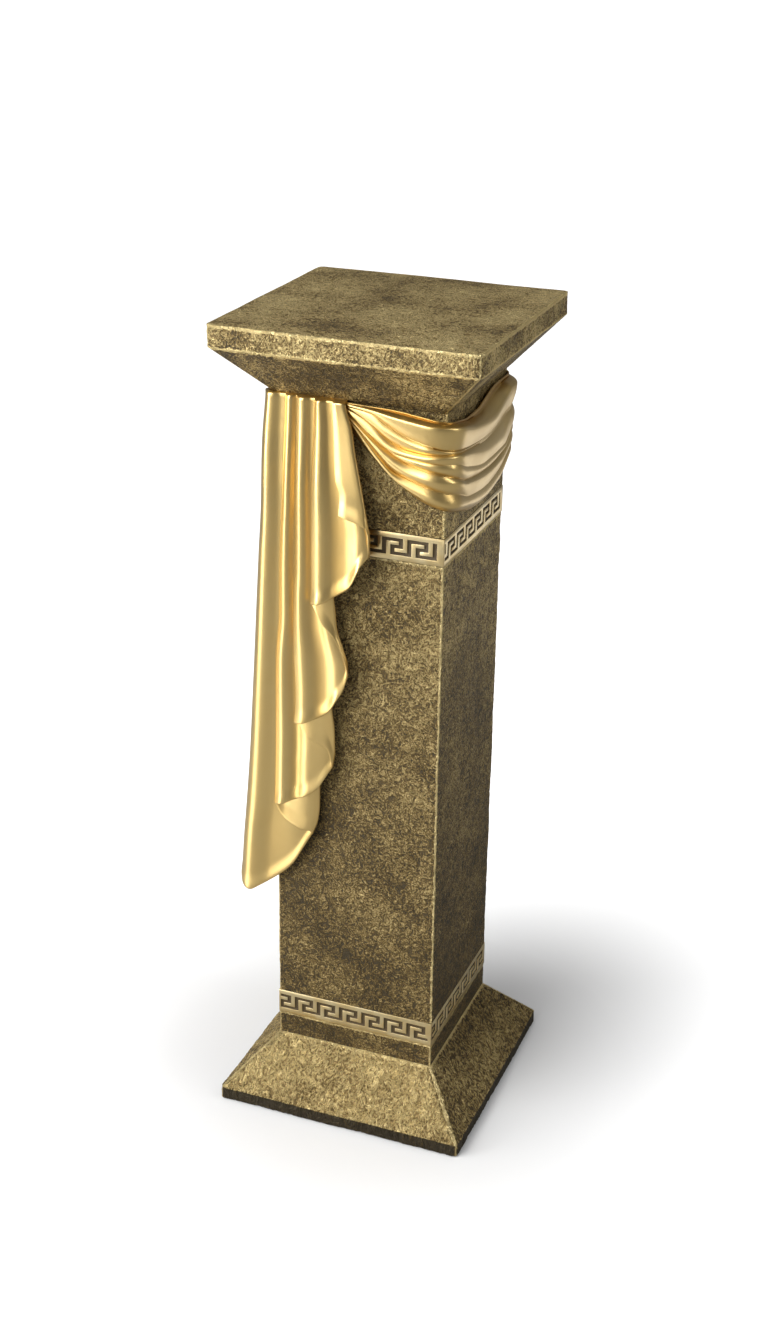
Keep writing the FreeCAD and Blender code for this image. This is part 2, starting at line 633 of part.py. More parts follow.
# Where the swag's sections stand, and there the share of its sag of its upper edge and its
# hem.  The place on the front and back faces is a share of the way from the gather to the
# right corner, and on the right face a share of that face.
SWAG_SECTIONS = [
    ("front", 0.00, 0.02, 0.14),
    ("front", 0.10, 0.03, 0.26),
    ("front", 0.31, 0.04, 0.50),
    ("front", 0.58, 0.05, 0.71),
    ("front", 0.85, 0.065, 0.84),
    ("front corner", 1.00, 0.08, 0.875),
    ("right", 0.22, 0.13, 0.955),
    ("right", 0.48, 0.145, 1.00),
    ("right", 0.76, 0.10, 0.955),
    ("back corner", 1.00, 0.07, 0.90),
    ("back", 0.80, 0.06, 0.80),
    ("back", 0.52, 0.05, 0.66),
    ("back", 0.24, 0.04, 0.42),
    ("back", 0.00, 0.02, 0.14),
]
SWAG_FOLDS = 5


def swag_point(face, share, out, height):
    """A point at a distance out from the shaft, at a section of the swag."""
    gather = -Drape.half + number_of("swag_start")
    across = gather + share * (Drape.half - gather)
    wide = Drape.half + out
    return {
        "front": Vector(across, -wide, height),
        "front corner": Vector(wide, -wide, height),
        "right": Vector(wide, (2 * share - 1) * Drape.half, height),
        "back corner": Vector(wide, wide, height),
        "back": Vector(across, wide, height),
    }[face]


def swag_section(face, share, upper, hem):
    """An upright section of the swag: straight at the shaft, and folds in front."""
    sag = number_of("swag_sag")
    low, high = Drape.top - hem * sag, Drape.top - upper * sag
    step = (high - low) / SWAG_FOLDS
    outs = [number_of("swag_edge")] + [number_of("swag_relief"), number_of("swag_groove")] * SWAG_FOLDS
    outs[-1] = outs[0]
    # where the folds are gathered close they are shallower
    middle = (min(outs) + max(outs)) / 2
    fullness = min(1, step / number_of("swag_full_fold"))
    outs = [middle + fullness * (out - middle) for out in outs]
    points = [swag_point(face, share, out, low + 0.5 * step * index) for index, out in enumerate(outs)]
    foot, head = (swag_point(face, share, Drape.glue, height) for height in (low, high))
    edges = [Part.makeLine(foot, points[0])] + curve_through(points)
    edges += [Part.makeLine(points[-1], head), Part.makeLine(head, foot)]
    return Part.Wire(edges)


def make_swag():
    """The cast swag, from its gather at the tail round the right face to the back."""
    swag = closed_loft([swag_section(*section) for section in SWAG_SECTIONS])
    # it stops short of the tail's right edge
    gap = number_of("tail_swag_gap")
    edge = [Vector(-Drape.half + across * Drape.reach + gap, 0, Drape.top - down * Drape.length)
            for down, across in TOP_RIGHT_FOLD]
    far = Vector(-Drape.half, 0, 0)
    corners = [Vector(far.x, 0, edge[0].z), *edge, Vector(far.x, 0, edge[-1].z)]
    room = Part.Face(Part.makePolygon(corners + corners[:1])).extrude(Vector(0, -4 * Drape.relief, 0))
    room.translate(Vector(0, Drape.face + Drape.relief, 0))
    return swag.cut(room)


# The drape's pegs: the face, the place across it from its left edge seen from outside, and
# the distance down from the top of the shaft.
TAIL_PEGS = [("front", 0.21, 0.08), ("front", 0.20, 0.40), ("front", 0.14, 0.70)]
SWAG_PEGS = [("front", 0.80, 0.45), ("right", 0.26, 0.55), ("right", 0.74, 0.55), ("back", 0.20, 0.45)]
FACE_TURNS = {"front": 0, "right": 90, "back": 180}


def pegs(name, places, run, gap):
    """A peg, or with a gap the hole for it, at each place: square to its face of the shaft."""
    for index, (face, share, down) in enumerate(places):
        item = doc.addObject("Part::Cylinder", f"{name}_{index + 1}")
        turn = FACE_TURNS[face]
        outward = FreeCAD.Rotation(Vector(0, 0, 1), Vector(0, -1, 0))
        item.Placement.Rotation = FreeCAD.Rotation(Vector(0, 0, 1), turn).multiply(outward)
        inner = f"({SHAFT_HALF} - peg_in_wall - {gap})"
        across = f"({share} * shaft_side - {SHAFT_HALF})"
        base_x = f"{across} * cos({turn}) + {inner} * sin({turn})"
        base_y = f"{across} * sin({turn}) - {inner} * cos({turn})"
        bind(item, Placement__Base__x=base_x, Placement__Base__y=base_y)
        bind(item, Placement__Base__z=f"{SHAFT_TOP} - {down} * {run}")
        bind(item, Radius=f"peg_diameter / 2 + {gap}")
        bind(item, Height=f"peg_in_wall + glue_line + peg_in_drape + 2 * {gap}")
        yield item


def make_drape():
    """The two drape castings, their pegs, and the holes for the pegs."""
    tail = doc.addObject("Part::Feature", "drape_tail_casting")
    tail.Shape = make_tail()
    swag = doc.addObject("Part::Feature", "drape_swag_casting")
    swag.Shape = make_swag()
    tail_holes = group("tail_peg_holes", list(pegs("tail_hole", TAIL_PEGS, "tail_length", "peg_clearance")))
    swag_holes = group("swag_peg_holes", list(pegs("swag_hole", SWAG_PEGS, "swag_sag", "peg_clearance")))
    pieces = [
        cut("drape_tail", tail, tail_holes),
        cut("drape_swag", swag, swag_holes),
        group("tail_pegs", list(pegs("tail_peg", TAIL_PEGS, "tail_length", "0"))),
        group("swag_pegs", list(pegs("swag_peg", SWAG_PEGS, "swag_sag", "0"))),
    ]
    return pieces, group("drape_peg_holes", [tail_holes, swag_holes])


# ---------------------------------------------------------------- the whole column
drape_pieces, peg_holes = make_drape()
nodes = [make_base(), cut("shaft", make_shaft_tube(), peg_holes), make_capital()]
nodes += make_strips("lower", LOWER_BAND_FOOT, "lower_key_start", "lower_key_stile")
nodes += make_strips("upper", UPPER_BAND_FOOT, "upper_key_start", "upper_key_stile")
nodes += drape_pieces
nodes += [make_rod_insert(), make_tie_rod(), make_clamp_plate(), make_washer(), make_nut()]
nodes += make_pads()
for item in nodes:
    item.Label = item.Name
doc.recompute()

for item in doc.Objects:
    if {"Invalid", "Error"} & set(item.State):
        raise RuntimeError(f"{item.Name}: {item.State}")
for item in nodes:
    if item.Shape.isNull() or not item.Shape.isValid():
        raise RuntimeError(f"{item.Name} has no valid shape")

os.makedirs("parts", exist_ok=True)
for item in nodes:
    item.Shape.exportStep(f"parts/{item.Label}.step")
    print(f"{item.Label:24s} solids {len(item.Shape.Solids)}  volume {item.Shape.Volume / 1000:9.2f} cm3")
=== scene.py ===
import math

import bmesh
import bpy
from mathutils import Euler, Matrix, Vector, noise


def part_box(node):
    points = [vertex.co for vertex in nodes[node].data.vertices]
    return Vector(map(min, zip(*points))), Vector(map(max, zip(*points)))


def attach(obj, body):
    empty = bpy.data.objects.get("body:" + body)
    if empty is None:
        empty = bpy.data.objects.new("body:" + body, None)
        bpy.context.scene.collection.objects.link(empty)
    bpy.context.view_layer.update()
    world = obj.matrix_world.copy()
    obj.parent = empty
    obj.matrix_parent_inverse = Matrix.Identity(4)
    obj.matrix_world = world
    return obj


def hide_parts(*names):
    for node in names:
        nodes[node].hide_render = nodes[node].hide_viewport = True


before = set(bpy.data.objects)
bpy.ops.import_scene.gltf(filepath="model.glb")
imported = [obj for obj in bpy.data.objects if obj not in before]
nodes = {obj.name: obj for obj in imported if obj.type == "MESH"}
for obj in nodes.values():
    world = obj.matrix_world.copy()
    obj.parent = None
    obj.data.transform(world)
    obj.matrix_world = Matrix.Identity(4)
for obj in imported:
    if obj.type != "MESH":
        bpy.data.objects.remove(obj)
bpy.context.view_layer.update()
MM = 0.001

# ------------------------------------------------------------------ base casting
# The foot of the column: an upright plinth edge and four slopes up to the shaft, cast
# hollow in resin and stone powder.  Its face is beaten and wrinkled, painted bronze-black
# and rubbed over with gold, which stays on the high spots and along the rims.
base_low, base_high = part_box("base")
shaft_low, shaft_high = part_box("shaft")
BASE_HALF = base_high.x
SHAFT_HALF = shaft_high.x
SHAFT_FOOT = shaft_low.z
SPIGOT_OUT, SPIGOT_IN = 69 * MM, 59 * MM
PLINTH_EDGE = 13 * MM
PLINTH_TOP = base_low.z + PLINTH_EDGE
# heights of the web's faces, half widths of the hollow under it, and height of its step
BASE_WEB = (46 * MM, 56 * MM)
BASE_MOUTH, BASE_ROOF, BASE_STEP = 101.5 * MM, 75 * MM, 25 * MM
ROD_HOLE = 5.5 * MM
BASE_CELL, SHORTEST_CUT = 1.05 * MM, 20 * MM
RELIEF_FADE = 3 * MM
SKIN = 0.5 * MM
TOUCH = 0.01 * MM
LEVEL = 0.001 * MM


def spun_square(outline):
    """A square casting: its closed outline at one corner, spun round in four steps."""
    bm = bmesh.new()
    corners = [bm.verts.new((-half, -half, height)) for half, height in outline]
    edges = [bm.edges.new(pair) for pair in zip(corners, corners[1:] + corners[:1])]
    bmesh.ops.spin(bm, geom=corners + edges, cent=(0, 0, 0), axis=(0, 0, 1),
                   angle=math.tau, steps=4, use_merge=True)
    bmesh.ops.recalc_face_normals(bm, faces=bm.faces)
    return bm


def level_edge(edge):
    """Whether an edge lies level."""
    return abs(edge.verts[0].co.z - edge.verts[1].co.z) < LEVEL


def shown_faces(bm, half_at):
    """The faces that lie on the outside: at the casting's half width for their height."""
    found = []
    for face in bm.faces:
        middle = face.calc_center_median()
        if max(abs(middle.x), abs(middle.y)) > half_at(middle.z) - SKIN:
            found.append(face)
    return found


def round_corners(bm, half_at, width):
    """Rounds the four upright or sloping corners of the outside."""
    faces = set(shown_faces(bm, half_at))
    hips = [edge for edge in bm.edges
            if not level_edge(edge) and len(set(edge.link_faces) & faces) == 2]
    bmesh.ops.bevel(bm, geom=hips, offset=width, offset_type="OFFSET", segments=3,
                    profile=0.5, affect="EDGES", material=-1, clamp_overlap=True)


def mesh_finely(bm, half_at, cell):
    """Cuts the outside into small cells that can carry the relief of the cast."""
    faces = shown_faces(bm, half_at)
    level = {edge for face in faces for edge in face.edges
             if level_edge(edge) and edge.calc_length() > SHORTEST_CUT}
    longest = max(edge.calc_length() for edge in level)
    bmesh.ops.subdivide_edges(bm, edges=list(level), cuts=round(longest / cell) - 1)
    rows = {}
    for face in shown_faces(bm, half_at):
        for edge in face.edges:
            if not level_edge(edge):
                heights = sorted(round(vertex.co.z, 6) for vertex in edge.verts)
                rows.setdefault(tuple(heights), set()).add(edge)
    for edges in rows.values():
        length = min(edge.calc_length() for edge in edges)
        cuts = round(length / cell) - 1
        if cuts > 0:
            bmesh.ops.subdivide_edges(bm, edges=list(edges), cuts=cuts)


def raise_relief(bm, half_at, relief, rub, per_mm=0.17, still=()):
    """Moves the outside in and out by a relief in metres, and keeps how much gold it gets.

    The relief fades out at the heights in still, where the casting meets a neighbour.  A
    vertex gets gold by per_mm for its relief, and by what rub gives for its place, which on the base's front
    slope is partly painted light.
    """
    layer = bm.verts.layers.float.new("gold_and_painted_light")
    bm.normal_update()
    outside = {vertex for face in shown_faces(bm, half_at) for vertex in face.verts}
    moves = {}
    for vertex in outside:
        height = relief(vertex.co, vertex.normal)
        fade = min([1.0] + [abs(vertex.co.z - level) / RELIEF_FADE for level in still])
        vertex[layer] = per_mm * height / MM + rub(vertex.co, vertex.normal)
        moves[vertex] = vertex.normal * height * fade
    for vertex, move in moves.items():
        vertex.co += move


def placed(name, data):
    """A new object of the scene."""
    thing = bpy.data.objects.new(name, data)
    bpy.context.scene.collection.objects.link(thing)
    return thing


def finished(bm, name, material, cad_node, sharp=40):
    """Turns the mesh into a piece that stands for a node and rides with the column."""
    for face in bm.faces:
        face.smooth = True
    for edge in bm.edges:
        edge.smooth = len(edge.link_faces) == 2 and edge.calc_face_angle() < math.radians(sharp)
    mesh = bpy.data.meshes.new(name)
    bm.to_mesh(mesh)
    bm.free()
    mesh.materials.append(material)
    piece = placed(name, mesh)
    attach(piece, "root")
    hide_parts(cad_node)
    return piece


OCTAVES, OCTAVE_FADE, MEAN_CREST = 3, 1.7, 0.72


def wrinkles(place, size, height):
    """Sharp crests between soft hollows, like beaten or crumpled skin."""
    crest = 0
    for octave in range(OCTAVES):
        crest += (0.5 - abs(noise.noise(place / size * 2 ** octave))) / OCTAVE_FADE ** octave
    return (crest - MEAN_CREST) * height


def lumps(place, size, height):
    """Soft rises and hollows."""
    return noise.fractal(place / size, 0.6, 2.0, OCTAVES) * height


def node(tree, kind, inputs=None, **settings):
    """A shader node with its settings, and its inputs set or wired by name or number."""
    made = tree.nodes.new("ShaderNode" + kind)
    for name, value in settings.items():
        setattr(made, name, value)
    for name, value in (inputs or {}).items():
        if isinstance(value, bpy.types.NodeSocket):
            tree.links.new(value, made.inputs[name])
        else:
            made.inputs[name].default_value = value
    return made


def maths(tree, operation, first, second=0.0, clamp=False):
    """A sum, product or other operation on one or two numbers."""
    made = node(tree, "Math", {0: first, 1: second}, operation=operation, use_clamp=clamp)
    return made.outputs[0]


def off(tree, first, second):
    """How far two numbers lie apart."""
    return maths(tree, "ABSOLUTE", maths(tree, "SUBTRACT", first, second))


def ramp(tree, value, low, high, start=0.0, end=1.0):
    """A value eased from start to end as it goes from low to high."""
    made = node(tree, "MapRange", {"Value": value, "From Min": low, "From Max": high,
                                   "To Min": start, "To Max": end}, interpolation_type="SMOOTHSTEP")
    return made.outputs["Result"]


def blend(tree, share, first, second):
    """A colour between two."""
    made = node(tree, "Mix", {0: share, 6: first, 7: second}, data_type="RGBA")
    return made.outputs[2]


def group(name, inputs, outputs):
    """An empty node group with named inputs and outputs."""
    tree = bpy.data.node_groups.new(name, "ShaderNodeTree")
    for way, sockets in (("INPUT", inputs), ("OUTPUT", outputs)):
        for label, kind in sockets.items():
            tree.interface.new_socket(name=label, in_out=way, socket_type="NodeSocket" + kind)
    return tree, tree.nodes.new("NodeGroupInput").outputs, tree.nodes.new("NodeGroupOutput").inputs


def place_group(tree, name, inputs):
    """A node group in a material, with its own values."""
    return node(tree, "Group", inputs, node_tree=bpy.data.node_groups[name]).outputs


def new_material(name):
    """A material with its node tree and its Principled shader."""
    material = bpy.data.materials.new(name)
    material.use_nodes = True
    return material, material.node_tree, material.node_tree.nodes["Principled BSDF"]


def add_bump(tree, shader, height, strength, distance):
    """Gives a shader a small relief."""
    bump = node(tree, "Bump", {"Height": height, "Strength": strength, "Distance": distance})
    tree.links.new(bump.outputs["Normal"], shader.inputs["Normal"])


# The cast grain: fine crumbs, thin creases like crumpled leather, and large cloudy patches.
tree, given, wanted = group(
    "Cast grain", {"Place": "Vector", "Crumb size mm": "Float", "Stretch": "Float"},
    {"Height": "Float", "Tone": "Float", "Patches": "Float"})
per_metre = maths(tree, "DIVIDE", 1000.0, given["Crumb size mm"])
along = node(tree, "CombineXYZ", {0: 1.0, 1: 1.0, 2: given["Stretch"]}).outputs[0]
place = node(tree, "VectorMath", {0: given["Place"], 1: along}, operation="MULTIPLY").outputs[0]
crumbs = node(tree, "TexNoise", {"Vector": place, "Scale": per_metre, "Detail": 3.0,
                                 "Roughness": 0.65}).outputs["Fac"]
bend_scale = maths(tree, "DIVIDE", per_metre, 4.5)
bends = node(tree, "TexNoise", {"Vector": place, "Scale": bend_scale, "Detail": 3.0,
                                "Roughness": 0.6, "Distortion": 1.4}).outputs["Fac"]
beside = maths(tree, "MULTIPLY", off(tree, bends, 0.5), 9.0)
crease = maths(tree, "SUBTRACT", 1.0, beside, clamp=True)
height = maths(tree, "ADD", maths(tree, "MULTIPLY", crumbs, 1.3), crease)
tone = maths(tree, "ADD", maths(tree, "MULTIPLY", crumbs, 1.15), maths(tree, "MULTIPLY", crease, 0.36))
clouds = node(tree, "TexNoise", {"Vector": given["Place"], "Scale": 15.0, "Detail": 4.0,
                                 "Roughness": 0.6}).outputs["Fac"]
tree.links.new(height, wanted["Height"])
tree.links.new(tone, wanted["Tone"])
tree.links.new(clouds, wanted["Patches"])

# The rubbed rims: a square casting's corners, a lower and an upper rim round it, and the
# outermost lip of the face over the upper rim.
TOP_LIP = 3 * MM
tree, given, wanted = group(
    "Rubbed rims", {"Place": "Vector", "Lower rim": "Float", "Lower half": "Float",
                    "Upper rim": "Float", "Upper half": "Float", "Width mm": "Float"},
    {"Rim": "Float"})
split = node(tree, "SeparateXYZ", {0: given["Place"]}).outputs
across, back = maths(tree, "ABSOLUTE", split[0]), maths(tree, "ABSOLUTE", split[1])
farthest = maths(tree, "MAXIMUM", across, back)
inward = maths(tree, "LESS_THAN", farthest, maths(tree, "SUBTRACT", given["Upper half"], TOP_LIP))
top_face = maths(tree, "MULTIPLY", inward, maths(tree, "GREATER_THAN", split[2], given["Upper rim"]))
nearest = maths(tree, "ADD", off(tree, across, back), top_face)
for rim in ("Lower", "Upper"):
    aside = off(tree, farthest, given[f"{rim} half"])
    over = off(tree, split[2], given[f"{rim} rim"])
    nearest = maths(tree, "MINIMUM", nearest, maths(tree, "MAXIMUM", aside, over))
wander = node(tree, "TexNoise", {"Vector": given["Place"], "Scale": 190.0, "Detail": 3.0}).outputs["Fac"]
width = maths(tree, "MULTIPLY", given["Width mm"], maths(tree, "MULTIPLY", wander, 2 * MM))
share = maths(tree, "SUBTRACT", 1.25, maths(tree, "DIVIDE", nearest, width), clamp=True)
tree.links.new(share, wanted["Rim"])

PIT_BROWN = (0.024, 0.017, 0.009, 1)
RUBBED_BROWN = (0.250, 0.152, 0.036, 1)
CREST_GOLD = (0.80, 0.64, 0.31, 1)
WARM_SHINE = (1.0, 0.86, 0.58, 1)


def cast_bronze(name, crumb_mm, rims, rim_mm, depth_mm, cloudy=0.5, stretch=1.0):
    """Bronze-black paint in the pits of the cast, rubbed with gold on its high spots and rims.

    Each of the two rims is given as (height, half width of the casting there).
    """
    material, tree, shader = new_material(name)
    place = node(tree, "TexCoord").outputs["Object"]
    # the gold kept on each vertex: rubbing, and on the base's front slope partly painted light
    gold_and_painted_light = node(tree, "Attribute", attribute_name="gold_and_painted_light").outputs["Fac"]
    grain = place_group(tree, "Cast grain", {"Place": place, "Crumb size mm": crumb_mm,
                                             "Stretch": stretch})
    (low, low_half), (high, high_half) = rims
    rim = place_group(tree, "Rubbed rims", {
        "Place": place, "Lower rim": low, "Lower half": low_half, "Upper rim": high,
        "Upper half": high_half, "Width mm": rim_mm})["Rim"]
    patches = maths(tree, "MULTIPLY", maths(tree, "SUBTRACT", grain["Patches"], 0.5), cloudy)
    tone = maths(tree, "ADD", maths(tree, "ADD", grain["Tone"], gold_and_painted_light), patches)
    tone = maths(tree, "ADD", tone, maths(tree, "MULTIPLY", rim, 0.9))
    colour = blend(tree, ramp(tree, tone, 0.44, 1.06), PIT_BROWN, RUBBED_BROWN)
    gold = ramp(tree, tone, 0.72, 1.26)
    tree.links.new(blend(tree, gold, colour, CREST_GOLD), shader.inputs["Base Color"])
    tree.links.new(ramp(tree, gold, 0.0, 1.0, 0.15, 0.85), shader.inputs["Metallic"])
    tree.links.new(ramp(tree, gold, 0.0, 1.0, 0.46, 0.32), shader.inputs["Roughness"])
    shader.inputs["Specular IOR Level"].default_value = 0.75
    shader.inputs["Specular Tint"].default_value = WARM_SHINE
    add_bump(tree, shader, grain["Height"], 1.0, depth_mm * MM)
    return material


NOT_SHOWN = 1.0


def base_half(height):
    """Half the width of the base at a height, and a width no face has above the slopes."""
    if height <= PLINTH_TOP + TOUCH:
        return BASE_HALF
    if height > SHAFT_FOOT + TOUCH:
        return NOT_SHOWN
    return BASE_HALF + (SHAFT_HALF - BASE_HALF) * (height - PLINTH_TOP) / (SHAFT_FOOT - PLINTH_TOP)


def base_relief(place, normal):
    """Wrinkles that run up the slopes, stronger there than on the plinth edge."""
    stretched = Vector((place.x, place.y, place.z * 0.45))
    strength = 0.55 if place.z < PLINTH_TOP + 1 * MM else 1.0
    crests = wrinkles(stretched, size=5.0 * MM, height=1.7 * MM) * strength
    return crests + lumps(place, size=60 * MM, height=0.5 * MM)


def base_rub_and_painted_light(place, normal):
    """Most gold on the front slope, partly rubbed gold and partly painted light for the lit front; less on the
    others, hardly any on the plinth edge.
    """
    if place.z < PLINTH_TOP - 1 * MM:
        return -0.42
    # painted light: the lit front slope gets more gold than the shaded slopes, over its real rubbing
    return 0.27 if normal.y < -0.4 else 0.10


bm = spun_square([
    (BASE_HALF, base_low.z), (BASE_HALF, PLINTH_TOP), (SHAFT_HALF, SHAFT_FOOT),
    (SPIGOT_OUT, SHAFT_FOOT), (SPIGOT_OUT, base_high.z), (SPIGOT_IN, base_high.z), (SPIGOT_IN, BASE_WEB[1]),
    (ROD_HOLE, BASE_WEB[1]), (ROD_HOLE, BASE_WEB[0]), (BASE_ROOF, BASE_WEB[0]), (BASE_ROOF, BASE_STEP),
    (BASE_MOUTH, BASE_STEP), (BASE_MOUTH, base_low.z)])
round_corners(bm, base_half, width=4.5 * MM)
mesh_finely(bm, base_half, BASE_CELL)
raise_relief(bm, base_half, base_relief, base_rub_and_painted_light, per_mm=0.08, still=[SHAFT_FOOT])
base_finish = cast_bronze("base_bronze", crumb_mm=1.7, rims=[(SHAFT_FOOT, SHAFT_HALF)] * 2,
                          rim_mm=2.2, depth_mm=1.7, stretch=0.35)
base = finished(bm, "base_cast", base_finish, "base")

# ------------------------------------------------------------------ shaft casting
# The square tube between base and capital, cast with a rough stone-like face and a channel
# for each inlaid band.  Painted like the base, with less gold towards its foot.
LOWER_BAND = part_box("lower_key_strip_front")
UPPER_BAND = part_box("upper_key_strip_front")
CHANNEL_GAP = 0.6 * MM
CHANNEL_DEPTH = 3 * MM
SHAFT_BORE = SHAFT_HALF - 12 * MM
SHAFT_CELL = 2.15 * MM
COARSE_FROM, COARSE_OVER = 480 * MM, 160 * MM
channels = [(low.z - CHANNEL_GAP, high.z + CHANNEL_GAP) for low, high in (LOWER_BAND, UPPER_BAND)]


def shaft_half(height):
    """Half the width of the shaft, and nothing shown inside the channels."""
    inside = any(low - TOUCH < height < high + TOUCH for low, high in channels)
    return NOT_SHOWN if inside else SHAFT_HALF


def shaft_relief(place, normal):
    """A rough-cast face, coarser under the capital, with long soft waves."""
    coarse = min(1.0, max(0.0, (place.z - COARSE_FROM) / COARSE_OVER))
    rough = wrinkles(place, size=(6 + 3 * coarse) * MM, height=(0.6 + 0.5 * coarse) * MM)
    return rough + lumps(place, size=70 * MM, height=0.5 * MM)


def shaft_rub(place, normal):
    """More gold towards the capital than towards the foot."""
    upward = (place.z - 100 * MM) / (600 * MM)
    return -0.07 + 0.26 * upward


outline = [(SHAFT_HALF, SHAFT_FOOT)]
for low, high in channels:
    sunk = SHAFT_HALF - CHANNEL_DEPTH
    outline += [(SHAFT_HALF, low), (sunk, low), (sunk, high), (SHAFT_HALF, high)]
outline += [(SHAFT_HALF, shaft_high.z), (SHAFT_BORE, shaft_high.z), (SHAFT_BORE, SHAFT_FOOT)]
bm = spun_square(outline)
round_corners(bm, shaft_half, width=2 * MM)
mesh_finely(bm, shaft_half, SHAFT_CELL)
raise_relief(bm, shaft_half, shaft_relief, shaft_rub,
             still=[SHAFT_FOOT, shaft_high.z, *channels[0], *channels[1]])
shaft_finish = cast_bronze("shaft_bronze", crumb_mm=1.6, rims=[(low, SHAFT_HALF) for low, high in channels],
                           rim_mm=1.7, depth_mm=1.4)
shaft = finished(bm, "shaft_cast", shaft_finish, "shaft")

# ------------------------------------------------------------------ capital casting
# The flare and the square top slab, one hollow casting.  The top is smooth and mottled,
# the slab's edge is pitted, and every rim is rubbed through to bright gold.
capital_low, capital_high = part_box("capital")
SLAB_HALF = capital_high.x
SLAB_EDGE, ROOF_THICK = 21 * MM, 30 * MM
FLARE_TOP = capital_high.z - SLAB_EDGE
CAPITAL_ROOF = capital_high.z - ROOF_THICK
EDGE_ROUND = 3 * MM
CORE_HALF = 0.4 * MM
CAPITAL_CELL = 1.3 * MM


def capital_half(height):
    """Half the width of the capital at a height; its top face is shown whole."""
    if height > capital_high.z - TOUCH:
        return 0
    if height > capital_high.z - EDGE_ROUND:
        return SLAB_HALF - EDGE_ROUND
    if height >= FLARE_TOP:
        return SLAB_HALF
    if height < shaft_high.z:
        return NOT_SHOWN
    return SHAFT_HALF + (SLAB_HALF - SHAFT_HALF) * (height - shaft_high.z) / (FLARE_TOP - shaft_high.z)


def capital_relief(place, normal):
    """Pitted slab edge, quieter flare, and a nearly smooth top."""
    if normal.z > 0.7:
        return lumps(place, size=90 * MM, height=0.35 * MM) + wrinkles(place, size=6 * MM, height=0.12 * MM)
    strength = 1.0 if place.z > FLARE_TOP - 1 * MM else 0.4
    crests = wrinkles(place, size=5 * MM, height=0.9 * MM) * strength
    return crests + lumps(place, size=60 * MM, height=0.5 * MM)


def capital_rub(place, normal):
    """Gold on the slab's edge, a thinner rubbing on the top and the flare."""
    if normal.z > 0.7:
        return 0.20
    return 0.16 if place.z > FLARE_TOP - 1 * MM else 0.03


bm = spun_square([
    (SHAFT_HALF, shaft_high.z), (SLAB_HALF, FLARE_TOP), (SLAB_HALF, capital_high.z),
    (CORE_HALF, capital_high.z), (CORE_HALF, CAPITAL_ROOF), (SPIGOT_IN, CAPITAL_ROOF),
    (SPIGOT_IN, capital_low.z), (SPIGOT_OUT, capital_low.z), (SPIGOT_OUT, shaft_high.z)])
# the spin leaves a fine open core at the middle of the slab: its walls go, its ends are closed
core = [face for face in bm.faces
        if all(max(abs(vertex.co.x), abs(vertex.co.y)) < 2 * CORE_HALF for vertex in face.verts)]
bmesh.ops.delete(bm, geom=core, context="FACES")
bmesh.ops.holes_fill(bm, edges=[edge for edge in bm.edges if edge.is_boundary], sides=4)
bmesh.ops.recalc_face_normals(bm, faces=bm.faces)
round_corners(bm, capital_half, width=6 * MM)
top_edges = [edge for edge in bm.edges
             if level_edge(edge) and edge.verts[0].co.z > capital_high.z - TOUCH
             and min(max(abs(end.co.x), abs(end.co.y)) for end in edge.verts) > SLAB_HALF - 7 * MM]
bmesh.ops.bevel(bm, geom=top_edges, offset=EDGE_ROUND, offset_type="OFFSET", segments=3,
                profile=0.5, affect="EDGES", material=-1, clamp_overlap=True)
mesh_finely(bm, capital_half, CAPITAL_CELL)
raise_relief(bm, capital_half, capital_relief, capital_rub, still=[shaft_high.z])
slab_rims = [(FLARE_TOP, SLAB_HALF), (capital_high.z - 1 * MM, SLAB_HALF)]
capital_finish = cast_bronze("capital_bronze", crumb_mm=1.5, rims=slab_rims, rim_mm=1.8,
                             depth_mm=0.8, cloudy=1.3)
capital = finished(bm, "capital_cast", capital_finish, "capital")

# ------------------------------------------------------------------ hanging tail
# The cast cloth's tail: one folded sheet that steps back and forth in layers over the front
# left corner.  Each fold is a line down the front, each layer ends in its own slanting hem.
# Places are mm across from the shaft's left edge and mm down from the shaft's top.
FLAP_EDGE = [(-7, 62), (30, 64.9), (66, 67.8), (79, 72.1), (98, 71.4)]
FLAP_FOLD = [(-7, 72), (-1, 72.9), (20, 79.5), (40, 83.4), (55, 87), (77.5, 92.1), (100, 96.5), (118, 99.4),
             (133, 99.2)]
FIRST_TURN = [(-6, 45), (25, 44.4), (80, 43.3), (134, 43.1), (187, 43)]
SECOND_FOLD = [(-7, 58), (100, 61), (179, 63.2), (192, 64.7), (208, 66.2), (227, 72.1), (243, 77.1), (254, 78)]
SECOND_TURN = [(-5, 26.6), (92, 25.9), (154, 25.4), (186, 23.9), (239, 23.5), (281, 24.9), (310, 24)]
THIRD_FOLD = [(-7, 46), (150, 54), (291, 60.1), (313, 62.7), (334, 63.2), (351, 61.8)]
THIRD_TURN = [(-3, 15.4), (95, 12), (125, 10.3), (166, 8.9), (202, 8.5), (252, 4.6), (335, 3.6), (402, 2.1)]
LAST_FOLD = [(-7, 34), (200, 42), (376, 46.8), (396, 46.7), (414, 44.5), (428, 39.9)]
SILHOUETTE = [(2, -6.9), (45, -10.4), (102, -12.2), (150, -15.5), (200, -18.8), (251, -22.1), (303, -25.6),
              (356, -29.2), (411, -33.9), (456, -38), (491, -40.3)]
